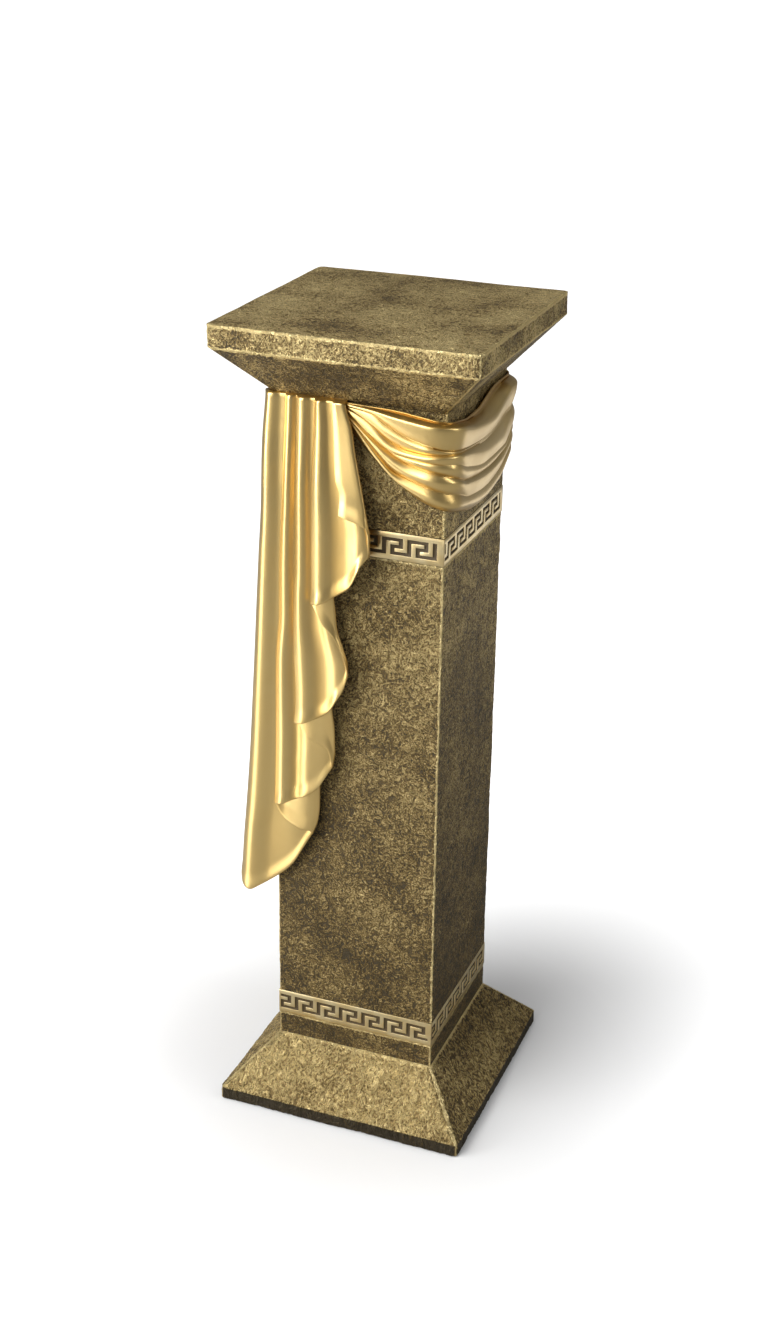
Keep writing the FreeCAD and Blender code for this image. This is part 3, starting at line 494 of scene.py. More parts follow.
# A layer, from the nearest to the eye down to the lowest: its left line and its right line, mm
# off the shaft, drop of its hem at the left line, points of the hem (across, drop), drop of the
# hem at the right line, and its flutes as (share across, rise).
LAYERS = [
    (FLAP_EDGE, FLAP_FOLD, 19, 98, [(81.7, 100), (91.1, 103), (97.3, 107)], 133,
     [(0, 0), (0.35, 0.5), (0.7, 0.4), (1, 0)]),
    (FIRST_TURN, FLAP_FOLD, 16, 187, [(52.7, 184), (68.7, 174.5), (80.8, 165), (88.7, 151), (92.6, 142)], 133,
     [(0, 0), (0.18, 1.5), (0.42, -0.7), (0.6, -0.2), (0.85, 1.2), (1, 0)]),
    (FIRST_TURN, SECOND_FOLD, 13.3, 187, [(48, 194), (53.9, 204), (61.7, 213), (68.6, 223)], 254,
     [(0, 0), (0.5, 0.9), (1, 0)]),
    (SECOND_TURN, SECOND_FOLD, 11.6, 311,
     [(40.8, 305), (53.4, 298), (61.4, 290), (68.3, 278.5), (74, 268)], 254,
     [(0, 0), (0.2, 1.5), (0.46, -0.6), (0.62, 0), (0.8, 1.0), (1, 0)]),
    (SECOND_TURN, THIRD_FOLD, 9.4, 311, [(26.2, 311), (35.3, 320), (46.4, 326.5), (56.6, 332)], 351,
     [(0, -0.4), (0.4, 0.9), (0.7, 0.5), (1, 0)]),
    (THIRD_TURN, THIRD_FOLD, 8.2, 402, [(21, 394), (34.3, 386), (48.5, 374), (53.8, 365)], 351,
     [(0, 0), (0.15, 1.4), (0.33, -0.8), (0.55, 1.3), (0.8, 0.8), (1, -0.3)]),
    (THIRD_TURN, LAST_FOLD, 6.6, 402, [(9.1, 414), (19.9, 420), (28.9, 423), (37.7, 424)], 428,
     [(0, -0.6), (0.35, 0.4), (0.75, 0.9), (1, 0)]),
    (SILHOUETTE, LAST_FOLD, 5.4, 487,
     [(-34.1, 499), (-26.2, 501), (-14.7, 495), (2.4, 482), (19.2, 465), (32.8, 441)], 428,
     [(0, 0), (0.2, 1.7), (0.42, 0.3), (0.75, 0.5), (1, 0)])]
WRAP_HEM = [(0, 487), (0.15, 482), (0.5, 440), (0.8, 395), (1, 372)]
CLOTH_THICK = 1.6 * MM
# all in mm: how far the top edge stands over the shaft's top, how high rolls stand and valleys
# sink for a flute of one, how far a hem lifts and over what length, and how far over a hem the
# layer under it starts to show
CLOTH_TOP, LEDGE_FALL = -1.6, 1.2
ROLL_RISE, VALLEY_FALL, HEM_LIFT, HEM_REACH, HEM_COVER = 3.2, 1.3, 1.8, 16, 24
CORNER_ROLL = 7
WRAP_OUT, WRAP_BACK, WRAP_SPREAD, WRAP_FLUTE = 2.4, 48, 14, 2.2
LEDGE_SHARE, TOP_SHARE = 0.2, 0.68
LIP_SHARES = (0.25, 0.75, 1.0)
LIP_DROPS = (0.4, 0)


def line_at(points, where):
    """The height of a smooth line through points, level beyond its ends and never overshooting."""
    if where <= points[0][0]:
        return points[0][1]
    if where >= points[-1][0]:
        return points[-1][1]
    slopes = [(b[1] - a[1]) / (b[0] - a[0]) for a, b in zip(points, points[1:])]
    index = max(i for i, point in enumerate(points) if point[0] <= where)
    leans = []
    for i in (index, index + 1):
        if i == 0 or i == len(points) - 1:
            leans.append(slopes[min(i, len(slopes) - 1)])
        else:
            before, after = slopes[i - 1], slopes[i]
            leans.append(2 * before * after / (before + after) if before * after > 0 else 0)
    (x0, y0), (x1, y1) = points[index], points[index + 1]
    width = x1 - x0
    t = (where - x0) / width
    return (y0 * (1 + 2 * t) * (1 - t) ** 2 + leans[0] * width * t * (1 - t) ** 2
            + y1 * t * t * (3 - 2 * t) + leans[1] * width * t * t * (t - 1))


def eased(value, low, high):
    """From 0 to 1 as a value goes from low to high, smoothly."""
    t = min(1.0, max(0.0, (value - low) / (high - low)))
    return t * t * (3 - 2 * t)


def hem_shares(layer):
    """A layer's hem as (share from its left line to its right line, drop)."""
    left, right, _, start, points, end, _ = layer
    shares = [(0.0, start)]
    for across, drop in points:
        share = (across - line_at(left, drop)) / (line_at(right, drop) - line_at(left, drop))
        shares.append((min(0.995, max(shares[-1][0] + 0.003, share)), drop))
    return shares + [(1.0, end)]


HEMS = [hem_shares(layer) for layer in LAYERS]


def off_shaft(out, drop):
    """How far a layer stands off the shaft: a little flatter under the flare."""
    return out * (TOP_SHARE + (1 - TOP_SHARE) * eased(drop, -5, 90))


def bare(number, across, drop):
    """How bare a layer is: 0 where the layer over it covers it, 1 where it shows."""
    if number == 0:
        return 1
    left, right = LAYERS[number - 1][:2]
    begin, end = line_at(left, drop), line_at(right, drop)
    hem = line_at(HEMS[number - 1], min(1.0, max(0.0, (across - begin) / (end - begin))))
    within = eased(across, begin - 1, begin + 3) * (1 - eased(across, end - 3, end + 1))
    return 1 - within * (1 - eased(drop, hem - HEM_COVER, hem))


def fold_rounded(depth, own, other, distance):
    """Rolls a layer's depth round to its neighbour's as it nears their fold."""
    middle, radius = (own + other) / 2, abs(own - other) / 2
    if distance >= radius:
        return depth
    return middle + (depth - middle) * math.sqrt(max(0.0, 1 - (1 - distance / radius) ** 2))


def tail_point(number, share, drop):
    """A point of a layer: mm across from the shaft's left edge, and mm out from its front."""
    left, right, out, _, _, _, flutes = LAYERS[number]
    start, end = line_at(left, drop), line_at(right, drop)
    across = start + (end - start) * share
    rise = line_at(flutes, share)
    depth = out + rise * (ROLL_RISE if rise > 0 else VALLEY_FALL) * bare(number, across, drop)
    hem = line_at(HEMS[number], share)
    depth += HEM_LIFT * eased(drop, hem - HEM_REACH, hem)
    beside = (number - 1, number + 1) if number % 2 == 0 else (number + 1, number - 1)
    for edge, other in zip((start, end), beside):
        if 0 <= other < len(LAYERS):
            depth = fold_rounded(depth, out, LAYERS[other][2], abs(across - edge))
    depth = off_shaft(depth, drop)
    if number == len(LAYERS) - 1:
        roll = CORNER_ROLL * (1 + eased(drop, 0, 450))
        depth += math.sqrt(max(0.0, roll ** 2 - max(0.0, roll - across + start) ** 2)) - roll
    return across, depth


def wrap_point(share, drop):
    """A point of the tail's end, which goes round the corner to the shaft's left face."""
    begin = Vector(tail_point(len(LAYERS) - 1, 0, drop))
    end = Vector((-WRAP_OUT, -WRAP_BACK - WRAP_SPREAD * eased(drop, 0, 350)))
    reach = begin.y - end.y
    by_begin = begin - Vector((0, 0.45 * reach))
    by_end = end + Vector((0.45 * (begin.x - end.x), 0.18 * reach))
    point = (begin * (1 - share) ** 3 + by_begin * 3 * share * (1 - share) ** 2
             + by_end * 3 * share ** 2 * (1 - share) + end * share ** 3)
    flute = math.sin(3 * math.pi * share) * math.sin(math.pi * share)
    return point.x - WRAP_FLUTE * flute * eased(drop, 10, 160), point.y


def sheet_mesh(columns, rows, point_at):
    """A sheet of cells whose points are given by a function of column and row."""
    bm = bmesh.new()
    # each point's painted shade, which the gold material turns into darker gold
    painted_shade = bm.verts.layers.float.new("painted_shade")
    full = bm.verts.layers.deform.verify()
    bmesh.ops.create_grid(bm, x_segments=columns, y_segments=rows, size=1)
    for vertex in bm.verts:
        column = round((vertex.co.x + 1) / 2 * columns)
        row = round((vertex.co.y + 1) / 2 * rows)
        vertex.co, vertex[painted_shade] = point_at(column, row)
        vertex[full][0] = LIP_SHARES[min(2, row, rows - row)]
    return bm


def thickened(piece, thick):
    """Gives a sheet its cast thickness, which thins to a rounded lip at its edge."""
    piece.vertex_groups.new(name="full")
    solid = piece.modifiers.new("thickness", "SOLIDIFY")
    solid.thickness, solid.offset, solid.vertex_group = thick, 0, "full"


# The columns run along the cloth from the flap's free edge to the wrap on the left face.
LAYER_CELLS, LAST_CELLS, WRAP_CELLS = 26, 48, 36
TAIL_ROWS, LEDGE_ROWS = 170, 6
cloth = []
for number, layer in enumerate(LAYERS):
    cells = LAST_CELLS if number == len(LAYERS) - 1 else LAYER_CELLS
    for cell in range(0 if number == 0 else 1, cells + 1):
        share = (1 - math.cos(math.pi * cell / cells)) / 2
        if number % 2:
            share = 1 - share
        cloth.append((number, share, line_at(HEMS[number], share)))
for cell in range(1, WRAP_CELLS + 1):
    cloth.append((None, cell / WRAP_CELLS, line_at(WRAP_HEM, cell / WRAP_CELLS)))


def tail_at(column, row):
    """The place of the tail at a column and row in metres, and its painted shade there.

    The first rows turn in to the shaft as a ledge, and the last two make the hem's lip.
    """
    number, share, hem = cloth[column]
    turn = min(1.0, row / LEDGE_ROWS)
    down = max(0, row - LEDGE_ROWS) / (TAIL_ROWS - 2 - LEDGE_ROWS)
    drop = CLOTH_TOP + (hem - 1 - CLOTH_TOP) * down
    if row > TAIL_ROWS - 2:
        drop = hem - LIP_DROPS[row - TAIL_ROWS + 1]
    stand = LEDGE_SHARE + (1 - LEDGE_SHARE) * math.sin(turn * math.pi / 2)
    if number is None:
        across, out = wrap_point(share, drop)
        across *= stand
        rise = 0
    else:
        across, out = tail_point(number, share, drop)
        out *= stand
        rise = line_at(LAYERS[number][6], share)
    drop -= LEDGE_FALL * (1 - turn)
    # painted shade: a little everywhere, more where the flutes sink into valleys, less on the rolls
    painted_shade = min(1.0, max(0.0, 0.3 - 0.5 * rise))
    return Vector((-SHAFT_HALF + across * MM, -SHAFT_HALF - out * MM, shaft_high.z - drop * MM)), painted_shade


# The gold of the drape: satin metal paint over a faint cast grain, with painted shade in the hollows of its
# folds, a darker and warmer gold there.
ROLL_GOLD = (0.88, 0.64, 0.25, 1)
# the darker gold of the painted shade in the folds
PAINTED_SHADE_GOLD = (0.56, 0.33, 0.07, 1)
tree, given, wanted = group("Satin gold", {"Place": "Vector", "Painted shade": "Float"},
                            {"Color": "Color", "Roughness": "Float", "Height": "Float"})
fine = node(tree, "TexNoise", {"Vector": given["Place"], "Scale": 900.0, "Detail": 2.0}).outputs["Fac"]
broad = node(tree, "TexNoise", {"Vector": given["Place"], "Scale": 38.0, "Detail": 2.0}).outputs["Fac"]
# painted shade from the attribute, with a broad random tone mixed in
tone = maths(tree, "ADD", maths(tree, "MULTIPLY", given["Painted shade"], 0.75),
             maths(tree, "MULTIPLY", broad, 0.25), clamp=True)
tree.links.new(blend(tree, tone, ROLL_GOLD, PAINTED_SHADE_GOLD), wanted["Color"])
tree.links.new(ramp(tree, broad, 0.3, 0.7, 0.31, 0.38), wanted["Roughness"])
tree.links.new(maths(tree, "ADD", fine, broad), wanted["Height"])

drape_gold, tree, shader = new_material("drape_gold")
painted_shade = node(tree, "Attribute", attribute_name="painted_shade").outputs["Fac"]
paint = place_group(tree, "Satin gold", {"Place": node(tree, "TexCoord").outputs["Object"],
                                         "Painted shade": painted_shade})
tree.links.new(paint["Color"], shader.inputs["Base Color"])
tree.links.new(paint["Roughness"], shader.inputs["Roughness"])
shader.inputs["Metallic"].default_value = 1.0
shader.inputs["Coat Weight"].default_value = 0.5
shader.inputs["Coat Roughness"].default_value = 0.28
add_bump(tree, shader, paint["Height"], 0.5, 0.05 * MM)

bm = sheet_mesh(len(cloth) - 1, TAIL_ROWS, tail_at)
tail = finished(bm, "tail_cast", drape_gold, "drape_tail", sharp=70)
thickened(tail, CLOTH_THICK)

# ------------------------------------------------------------------ swag
# The cast swag: from a gather beside the tail it falls round the right face to a second
# gather on the back.  Ridges and grooves run along it; along is mm round the shaft from its
# front left corner, each list gives (along, drop from the shaft's top).
SWAG_LINES = [
    [(66, -2), (88, -0.6), (115, 0.6), (137, 3.2), (163, 7), (183, 10), (204, 13), (229, 12.6), (251, 7.7),
     (280, 2.3), (326, 2)],
    [(66, -0.5), (75, 1), (95, 2.5), (119, 6.5), (140, 9.5), (162, 12), (172, 13.5), (190, 18), (210, 22.4),
     (253, 26.6), (282, 18.1), (301, 11), (326, 11)],
    [(66, 0), (72, 1.6), (95, 5.2), (112, 14.7), (132, 23.8), (148, 28.1), (158, 31.5), (170, 34), (208, 38.2),
     (237, 40), (263, 38.6), (300, 31), (326, 29)],
    [(66, 0.8), (72, 2.4), (85, 7.2), (111, 19.7), (140, 29.6), (157, 32.5), (172, 35), (208, 39), (237, 41),
     (263, 39.6), (300, 32), (326, 30)],
    [(66, 1.6), (72, 3.9), (75, 4.9), (95, 14.1), (115, 28.6), (128, 33.5), (143, 35.2), (158, 35.6),
     (172, 36.2), (208, 40), (237, 42), (263, 40.6), (300, 33), (326, 31)],
    [(66, 2.4), (74, 7), (100, 24.8), (121, 35.6), (147, 38.5), (168, 38), (183, 40.3), (249, 53), (282, 52.7),
     (302, 42.5), (326, 38)],
    [(66, 3.2), (72, 6.8), (85, 17), (105, 29.7), (124, 39.3), (140, 41.6), (156, 43.2), (168, 44.5), (187, 52),
     (242, 63), (293, 62), (312, 52), (326, 47)],
    [(66, 3.8), (72, 7.6), (85, 18), (105, 30.7), (124, 40.5), (141, 43.3), (157, 46.5), (168, 49), (188, 57),
     (243, 67), (293, 65), (312, 54.5), (326, 49.5)],
    [(66, 4.4), (72, 8.6), (84, 18.8), (104, 32), (114, 38.4), (128, 45.6), (139, 48.9), (159, 53.2),
     (170, 57.5), (188, 64.5), (227, 70), (260, 71.5), (284, 68.5), (312, 57), (326, 52)],
    [(66, 5.2), (74, 11), (93, 26.6), (104, 36), (112, 42.6), (134, 54.6), (162, 60.5), (174, 63.5), (186, 68),
     (251, 76.5), (284, 74.5), (312, 64), (326, 58.5)],
    [(66, 6), (73, 11.6), (91, 29.5), (104, 42.8), (117, 54.8), (140, 62.6), (161, 69.8), (175, 74), (199, 82.5),
     (245, 87), (284, 82), (312, 70), (326, 64)],
    [(66, 7), (74.5, 14), (102, 44), (117, 58), (125, 63.5), (151, 74), (167, 81.5), (194, 87.5), (245, 94),
     (284, 89), (312, 75), (326, 69)],
    [(66, 9), (72, 15.5), (83, 31), (98, 46.5), (123, 67.5), (146, 81.5), (165, 87.5), (190, 95), (225, 103),
     (250, 104), (265, 102.4), (295, 95.7), (314, 83), (326, 77)]]
# Each line's distance off the shaft along the swag; grooves lie nearer than ridges.
SWAG_RISES = [
    [(66, 4), (326, 4)], [(66, 9), (140, 12), (326, 13)], [(66, 7), (150, 7.5), (190, 8.5), (326, 9)],
    [(66, 7.5), (110, 10), (145, 10), (160, 8.6), (172, 8.4), (326, 8.9)],
    [(66, 7), (150, 7.5), (190, 8.5), (326, 9)], [(66, 9), (120, 11.5), (326, 11.5)],
    [(66, 6.5), (140, 8.8), (200, 9.8), (326, 9.8)], [(66, 6.5), (105, 7), (124, 9), (141, 10.5), (326, 10.3)],
    [(66, 6), (150, 6.5), (200, 8.3), (326, 8.5)], [(66, 8), (110, 11), (200, 10.6), (326, 10.4)],
    [(66, 5.5), (160, 6.5), (200, 8.8), (326, 8.5)], [(66, 7), (120, 10), (326, 9.5)], [(66, 3), (326, 3)]]
SWAG_START, FIRST_CORNER, SECOND_CORNER = 66, 163, 326
SWAG_MIDDLE = (FIRST_CORNER + SECOND_CORNER) / 2
SWAG_END = 2 * SWAG_MIDDLE - SWAG_START
# the radius of the turn round a corner, how far the swag stands off there at least, how far
# from it the columns lie closer, and the steps along the swag that a place near it averages
TURN, CORNER_OUT, CORNER_REACH = 9, 6.4, 10
CORNER_STEPS = (-9, -6, -3, 0, 3, 6, 9)
# where the gathers open out, how far off the shaft they hold every line, and the top lip
GATHERED, OPEN, GATHER_OUT = 62, 118, 6
LIP_SHARE, LIP_OUT = 0.35, 3.4
SPAN_CELLS = 8


def from_corner(along):
    """How far a place along the swag is from the nearer of its two corners."""
    return min(abs(along - FIRST_CORNER), abs(along - SECOND_CORNER))


def swag_value(points, along):
    """A line's value along the swag; past the back right corner it mirrors the front."""
    if along <= SECOND_CORNER:
        return line_at(points, along)
    mirrored = line_at(points, 2 * SWAG_MIDDLE - along)
    return mirrored * points[-1][1] / line_at(points, FIRST_CORNER)


def swag_place(along, out, drop):
    """A place at a distance out from the shaft, round its corners, in metres."""
    side = 2 * SHAFT_HALF / MM
    face, along = divmod(along, side)
    angle = face * math.pi / 2
    if along < TURN and face > 0:
        over, place = along - TURN, Vector((-side / 2 + TURN, -side / 2 + TURN))
    elif along > side - TURN:
        over, place = along - side + TURN, Vector((side / 2 - TURN, -side / 2 + TURN))
    else:
        over, place = 0, Vector((along - side / 2, -side / 2 + TURN))
    swing = math.pi / 4 * over / TURN
    out += max(0.0, CORNER_OUT - out) * math.sin(2 * swing) ** 2
    place += (TURN + out) * Vector((math.sin(swing), -math.cos(swing)))
    turned = Matrix.Rotation(angle, 2) @ place
    return Vector((turned.x * MM, turned.y * MM, shaft_high.z - drop * MM))


run = []
along = SWAG_START
while along < SWAG_END:
    run.append(along)
    along += 1.0 if from_corner(along) < TURN + CORNER_REACH else 1.9
run.append(SWAG_END)


def swag_at(column, row):
    """The place of the swag at a column along it and a row down it, and its painted shade there."""
    along = run[column]
    full = 0.2 + 0.8 * eased(min(along, 2 * SWAG_MIDDLE - along), GATHERED, OPEN)
    drops = [swag_value(points, along) for points in SWAG_LINES]
    rises = [swag_value(points, along) for points in SWAG_RISES]
    drops.insert(1, drops[0] + (drops[1] - drops[0]) * LIP_SHARE)
    rises.insert(1, LIP_OUT)
    rises = [GATHER_OUT + (rise - GATHER_OUT) * full for rise in rises]
    span, cell = divmod(row, SPAN_CELLS)
    if span == len(drops) - 1:
        span, cell = span - 1, SPAN_CELLS
    t = cell / SPAN_CELLS
    low, high = rises[span], rises[span + 1]
    if span == len(drops) - 2:
        out = low + (high - low) * (1 - math.cos(t * math.pi / 2))
    elif low < high:
        out = low + (high - low) * math.sin(t * math.pi / 2)
    else:
        out = high + (low - high) * math.sin((1 - t) * math.pi / 2)
    drop = drops[span] + (drops[span + 1] - drops[span]) * t
    # painted shade: darker gold where the swag lies close to the shaft, less towards the gathers
    painted_shade = min(1.0, max(0.0, (10 - out) / 6)) * full
    if from_corner(along) > TURN + 12:
        return swag_place(along, out, drop), painted_shade
    around = [swag_place(along + step, out, drop) for step in CORNER_STEPS]
    return sum(around, Vector()) / len(around), painted_shade


bm = sheet_mesh(len(run) - 1, SPAN_CELLS * len(SWAG_LINES), swag_at)
swag = finished(bm, "swag_cast", drape_gold, "drape_swag", sharp=70)
thickened(swag, CLOTH_THICK)

# ------------------------------------------------------------------ key strips
# The inlaid Greek-key strips: cast in gold, with dark paint left in the sunk key and rubbed
# thin at the edges.  Each stands on its CAD shape, with its edges rounded.
GOLD_LEVEL, SUNK_LEVEL = 81.35 * MM, 80.7 * MM
STRIP_ROUND = 0.18 * MM
KEY_BROWN = (0.055, 0.035, 0.010, 1)
PALE_GOLD, WORN_GOLD = (0.93, 0.76, 0.43, 1), (0.84, 0.64, 0.31, 1)


def copied(name, cad_node, material, rounding, segments=2):
    """A merged copy of a CAD node's mesh with its sharp edges rounded."""
    bm = bmesh.new()
    bm.from_mesh(nodes[cad_node].data)
    bmesh.ops.remove_doubles(bm, verts=bm.verts, dist=TOUCH)
    bmesh.ops.dissolve_limit(bm, angle_limit=math.radians(1), verts=bm.verts, edges=bm.edges)
    sharp = [edge for edge in bm.edges
             if len(edge.link_faces) == 2 and edge.calc_face_angle() > math.radians(35)]
    bmesh.ops.bevel(bm, geom=sharp, offset=rounding, offset_type="OFFSET", segments=segments, profile=0.5,
                    affect="EDGES", material=-1, clamp_overlap=True)
    bmesh.ops.triangulate(bm, faces=[face for face in bm.faces if len(face.verts) > 4])
    return finished(bm, name, material, cad_node, sharp=50)


strip_gold, tree, shader = new_material("strip_gold")
place = node(tree, "TexCoord").outputs["Object"]
split = node(tree, "SeparateXYZ", {0: place}).outputs
out = maths(tree, "MAXIMUM", maths(tree, "ABSOLUTE", split[0]), maths(tree, "ABSOLUTE", split[1]))
grain = node(tree, "TexNoise", {"Vector": place, "Scale": 700.0, "Detail": 3.0,
                                "Roughness": 0.6}).outputs["Fac"]
uneven = maths(tree, "MULTIPLY", maths(tree, "SUBTRACT", grain, 0.5), 0.7 * MM)
gold = ramp(tree, maths(tree, "ADD", out, uneven), SUNK_LEVEL, GOLD_LEVEL)
clouds = node(tree, "TexNoise", {"Vector": place, "Scale": 60.0, "Detail": 2.0}).outputs["Fac"]
bright = blend(tree, ramp(tree, clouds, 0.35, 0.65), PALE_GOLD, WORN_GOLD)
tree.links.new(blend(tree, gold, KEY_BROWN, bright), shader.inputs["Base Color"])
tree.links.new(ramp(tree, gold, 0.2, 1.0), shader.inputs["Metallic"])
tree.links.new(ramp(tree, gold, 0.0, 1.0, 0.6, 0.30), shader.inputs["Roughness"])
add_bump(tree, shader, grain, 0.6, 0.15 * MM)
for band in ("lower", "upper"):
    for side in ("front", "right", "back", "left"):
        strip = copied(f"{band}_strip_{side}", f"{band}_key_strip_{side}", strip_gold, STRIP_ROUND)

# ------------------------------------------------------------------ rod set and feet
# What pulls the castings together inside the column: a zinc-plated threaded rod with its nut,
# washer and plate, and the cast-in brass insert it screws into.  Steel pegs hold the tail and
# the swag to the shaft, and four felt pads stand under the base.
THREAD_PITCH = 1.5 * MM
DULL_ZINC, BRIGHT_ZINC = (0.50, 0.51, 0.53, 1), (0.62, 0.63, 0.64, 1)
DULL_BRASS, BRIGHT_BRASS = (0.66, 0.46, 0.16, 1), (0.78, 0.58, 0.24, 1)
DARK_FELT, LIGHT_FELT = (0.035, 0.024, 0.016, 1), (0.13, 0.095, 0.065, 1)
zinc, tree, shader = new_material("zinc_plate")
place = node(tree, "TexCoord").outputs["Object"]
spangle = node(tree, "TexVoronoi", {"Vector": place, "Scale": 320.0}).outputs["Distance"]
smear = node(tree, "TexNoise", {"Vector": place, "Scale": 90.0, "Detail": 3.0}).outputs["Fac"]
tree.links.new(blend(tree, spangle, DULL_ZINC, BRIGHT_ZINC), shader.inputs["Base Color"])
tree.links.new(ramp(tree, smear, 0.3, 0.7, 0.28, 0.45), shader.inputs["Roughness"])
shader.inputs["Metallic"].default_value = 1.0

threaded = zinc.copy()
threaded.name = "zinc_thread"
tree = threaded.node_tree
shader = tree.nodes["Principled BSDF"]
split = node(tree, "SeparateXYZ", {0: node(tree, "TexCoord").outputs["Object"]}).outputs
turn = maths(tree, "DIVIDE", maths(tree, "ARCTAN2", split[1], split[0]), math.tau)
climb = maths(tree, "SUBTRACT", maths(tree, "DIVIDE", split[2], THREAD_PITCH), turn)
add_bump(tree, shader, maths(tree, "PINGPONG", climb, 0.5), 1.0, 1.8 * MM)

brass, tree, shader = new_material("brass")
place = node(tree, "TexCoord").outputs["Object"]
smear = node(tree, "TexNoise", {"Vector": place, "Scale": 150.0, "Detail": 3.0}).outputs["Fac"]
tree.links.new(blend(tree, smear, DULL_BRASS, BRIGHT_BRASS), shader.inputs["Base Color"])
tree.links.new(ramp(tree, smear, 0.3, 0.7, 0.24, 0.40), shader.inputs["Roughness"])
shader.inputs["Metallic"].default_value = 1.0

felt, tree, shader = new_material("brown_felt")
place = node(tree, "TexCoord").outputs["Object"]
fibres = node(tree, "TexNoise", {"Vector": place, "Scale": 1400.0, "Detail": 4.0,
                                 "Distortion": 2.0}).outputs["Fac"]
tree.links.new(blend(tree, fibres, DARK_FELT, LIGHT_FELT), shader.inputs["Base Color"])
shader.inputs["Roughness"].default_value = 0.95
shader.inputs["Sheen Weight"].default_value = 0.4
add_bump(tree, shader, fibres, 1.0, 0.3 * MM)

steel_pieces = [
    ("threaded_rod", "tie_rod", threaded, 0.2 * MM), ("rod_nut_zinc", "rod_nut", zinc, 0.5 * MM),
    ("rod_washer_zinc", "rod_washer", zinc, 0.25 * MM), ("clamp_plate_zinc", "clamp_plate", zinc, 0.6 * MM),
    ("tail_pegs_zinc", "tail_pegs", zinc, 0.3 * MM), ("swag_pegs_zinc", "swag_pegs", zinc, 0.3 * MM)]
for name, cad_node, metal, rounding in steel_pieces:
    copied(name, cad_node, metal, rounding)
copied("insert_brass", "rod_insert", brass, 0.3 * MM)
for corner in ("front_left", "front_right", "back_right", "back_left"):
    copied(f"felt_{corner}", f"felt_pad_{corner}", felt, 0.5 * MM, segments=3)

# ------------------------------------------------------------------ stage
# A floor that is white to the camera and a little greyer close round the base, a painted
# shadow there, a broad soft key light from the front left with fills and low lamps on the
# floor, and a camera at the photograph's place, which is worked out from corners of the
# column in its 768 x 1344 frame.
FRAME_HEIGHT = 1344
CAMERA_PLACE = Vector((0.60624, -1.58463, 1.20753))
YAW, PITCH, ROLL = 0.368, 0.422, 0.014
FOCAL_PIXELS = 1938.66
SENSOR_MM = 36

camera = placed("camera", bpy.data.cameras.new("camera"))
camera.location = CAMERA_PLACE
turned = Euler((math.pi / 2 - PITCH, 0, YAW)).to_matrix() @ Matrix.Rotation(ROLL, 3, "Z")
camera.rotation_euler = turned.to_euler()
camera.data.sensor_width = SENSOR_MM
camera.data.lens = FOCAL_PIXELS / FRAME_HEIGHT * SENSOR_MM
bpy.context.scene.camera = camera

FLOOR_SIDE = 60
bm = bmesh.new()
bmesh.ops.create_grid(bm, x_segments=1, y_segments=1, size=FLOOR_SIDE / 2)
mesh = bpy.data.meshes.new("floor")
bm.to_mesh(mesh)
bm.free()
floor = placed("floor", mesh)
# the grey is the painted shadow round the base
WHITE, PAINTED_SHADOW_GREY, ROOM_GREY = (1.0, 1.0, 1.0, 1), (0.76, 0.76, 0.76, 1), (0.36, 0.36, 0.36, 1)
floor_paint, tree, shader = new_material("floor_white")
shader.inputs["Roughness"].default_value = 1.0
shader.inputs["Specular IOR Level"].default_value = 0.0
rays = node(tree, "LightPath").outputs
seen = maths(tree, "MAXIMUM", rays["Is Camera Ray"], rays["Is Transmission Ray"])
place = node(tree, "TexCoord").outputs["Object"]
away = node(tree, "VectorMath", {0: place}, operation="LENGTH").outputs["Value"]
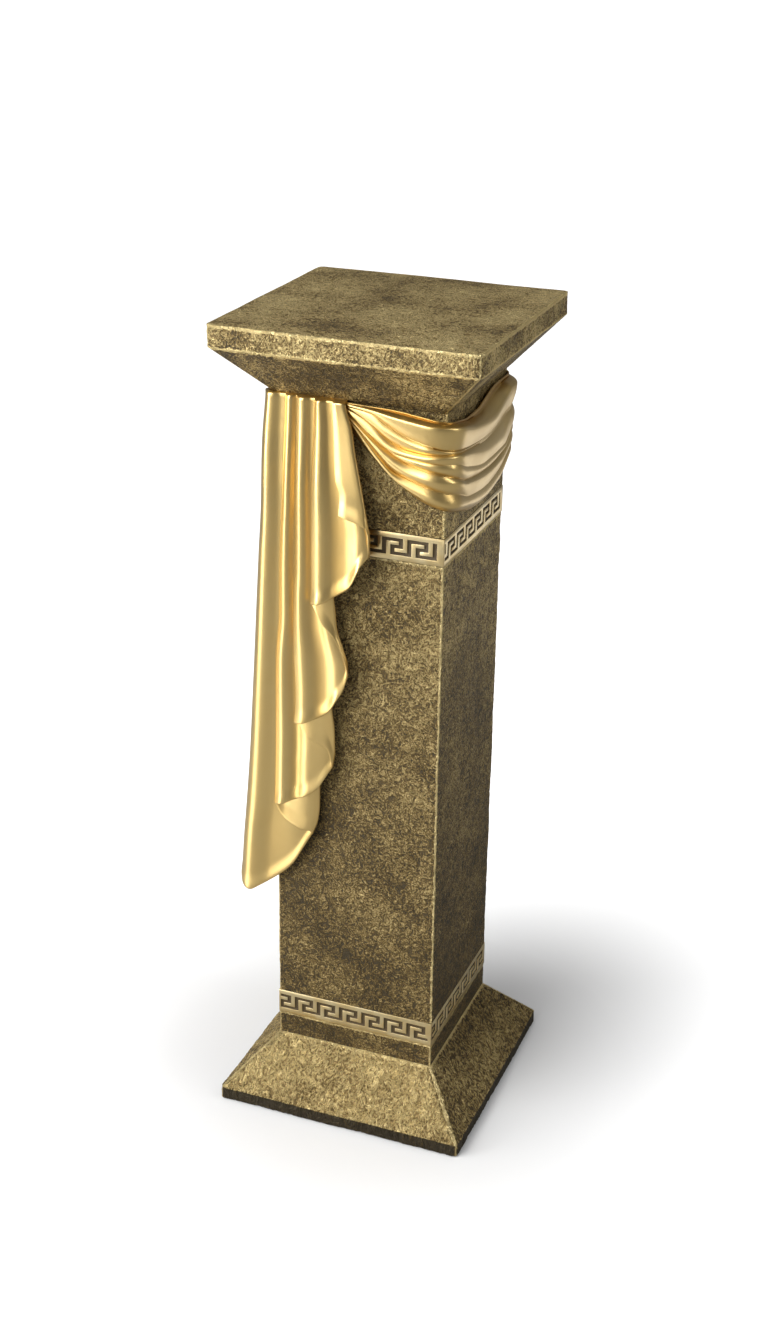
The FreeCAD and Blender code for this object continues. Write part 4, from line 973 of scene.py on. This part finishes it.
# painted shadow: close round the base the floor is greyer and glows less, so a soft shadow shows there; further
# out it glows more, which paints light over the column's cast shadow
floor_with_painted_shadow = blend(tree, ramp(tree, away, 0.14, 0.48), PAINTED_SHADOW_GREY, WHITE)
glow_with_painted_shadow = maths(tree, "MULTIPLY", seen, ramp(tree, away, 0.14, 0.55, 0.06, 0.50))
tree.links.new(blend(tree, seen, ROOM_GREY, floor_with_painted_shadow), shader.inputs["Base Color"])
tree.links.new(glow_with_painted_shadow, shader.inputs["Emission Strength"])
shader.inputs["Emission Color"].default_value = WHITE
floor.data.materials.append(floor_paint)

# The surroundings are white to the camera, and a dimmer room to the column.
world = bpy.data.worlds.new("studio")
world.use_nodes = True
bpy.context.scene.world = world
tree = world.node_tree
rays = node(tree, "LightPath").outputs
seen = maths(tree, "MAXIMUM", rays["Is Camera Ray"], rays["Is Transmission Ray"])
dim = maths(tree, "SUBTRACT", 0.28, maths(tree, "MULTIPLY", rays["Is Glossy Ray"], 0.12))
background = tree.nodes["Background"]
background.inputs["Color"].default_value = WHITE
tree.links.new(maths(tree, "MAXIMUM", seen, dim), background.inputs["Strength"])


def softbox(name, place, aim, width, height, watts):
    """A soft rectangular lamp that faces the place it is aimed at."""
    lamp = bpy.data.lights.new(name, "AREA")
    lamp.shape = "RECTANGLE"
    lamp.size, lamp.size_y, lamp.energy = width, height, watts
    thing = placed(name, lamp)
    thing.location = place
    thing.rotation_euler = (Vector(aim) - Vector(place)).to_track_quat("-Z", "Y").to_euler()


sun = bpy.data.lights.new("broad_sun", "SUN")
sun.energy, sun.angle = 1.6, math.radians(40)
broad_sun = placed("broad_sun", sun)
broad_sun.rotation_euler = Vector((0.45, 0.80, -1.0)).to_track_quat("-Z", "Y").to_euler()
softbox("key", (-1.75, -1.40, 0.85), (0, 0, 0.5), 1.1, 1.7, 36)
softbox("low_left_near", (-0.62, -0.42, 0.02), (-0.62, -0.42, 1), 0.45, 0.45, 1.2)
softbox("upper_fill", (-0.85, -2.1, 1.9), (0, 0, 0.6), 1.2, 1.0, 20)
softbox("front_fill", (-0.6, -2.6, 1.1), (0, 0, 0.6), 1.5, 1.3, 11)
softbox("low_left_far", (-1.25, -0.85, 0.02), (-1.25, -0.85, 1), 0.9, 0.9, 4.0)
softbox("low_right", (0.60, 1.45, 0.02), (0.60, 1.45, 1), 0.8, 0.9, 1.6)
softbox("right_strip", (1.9, 0.1, 1.5), (0, 0, 0.5), 0.4, 1.8, 9)

bpy.context.scene.view_settings.view_transform = "Standard"
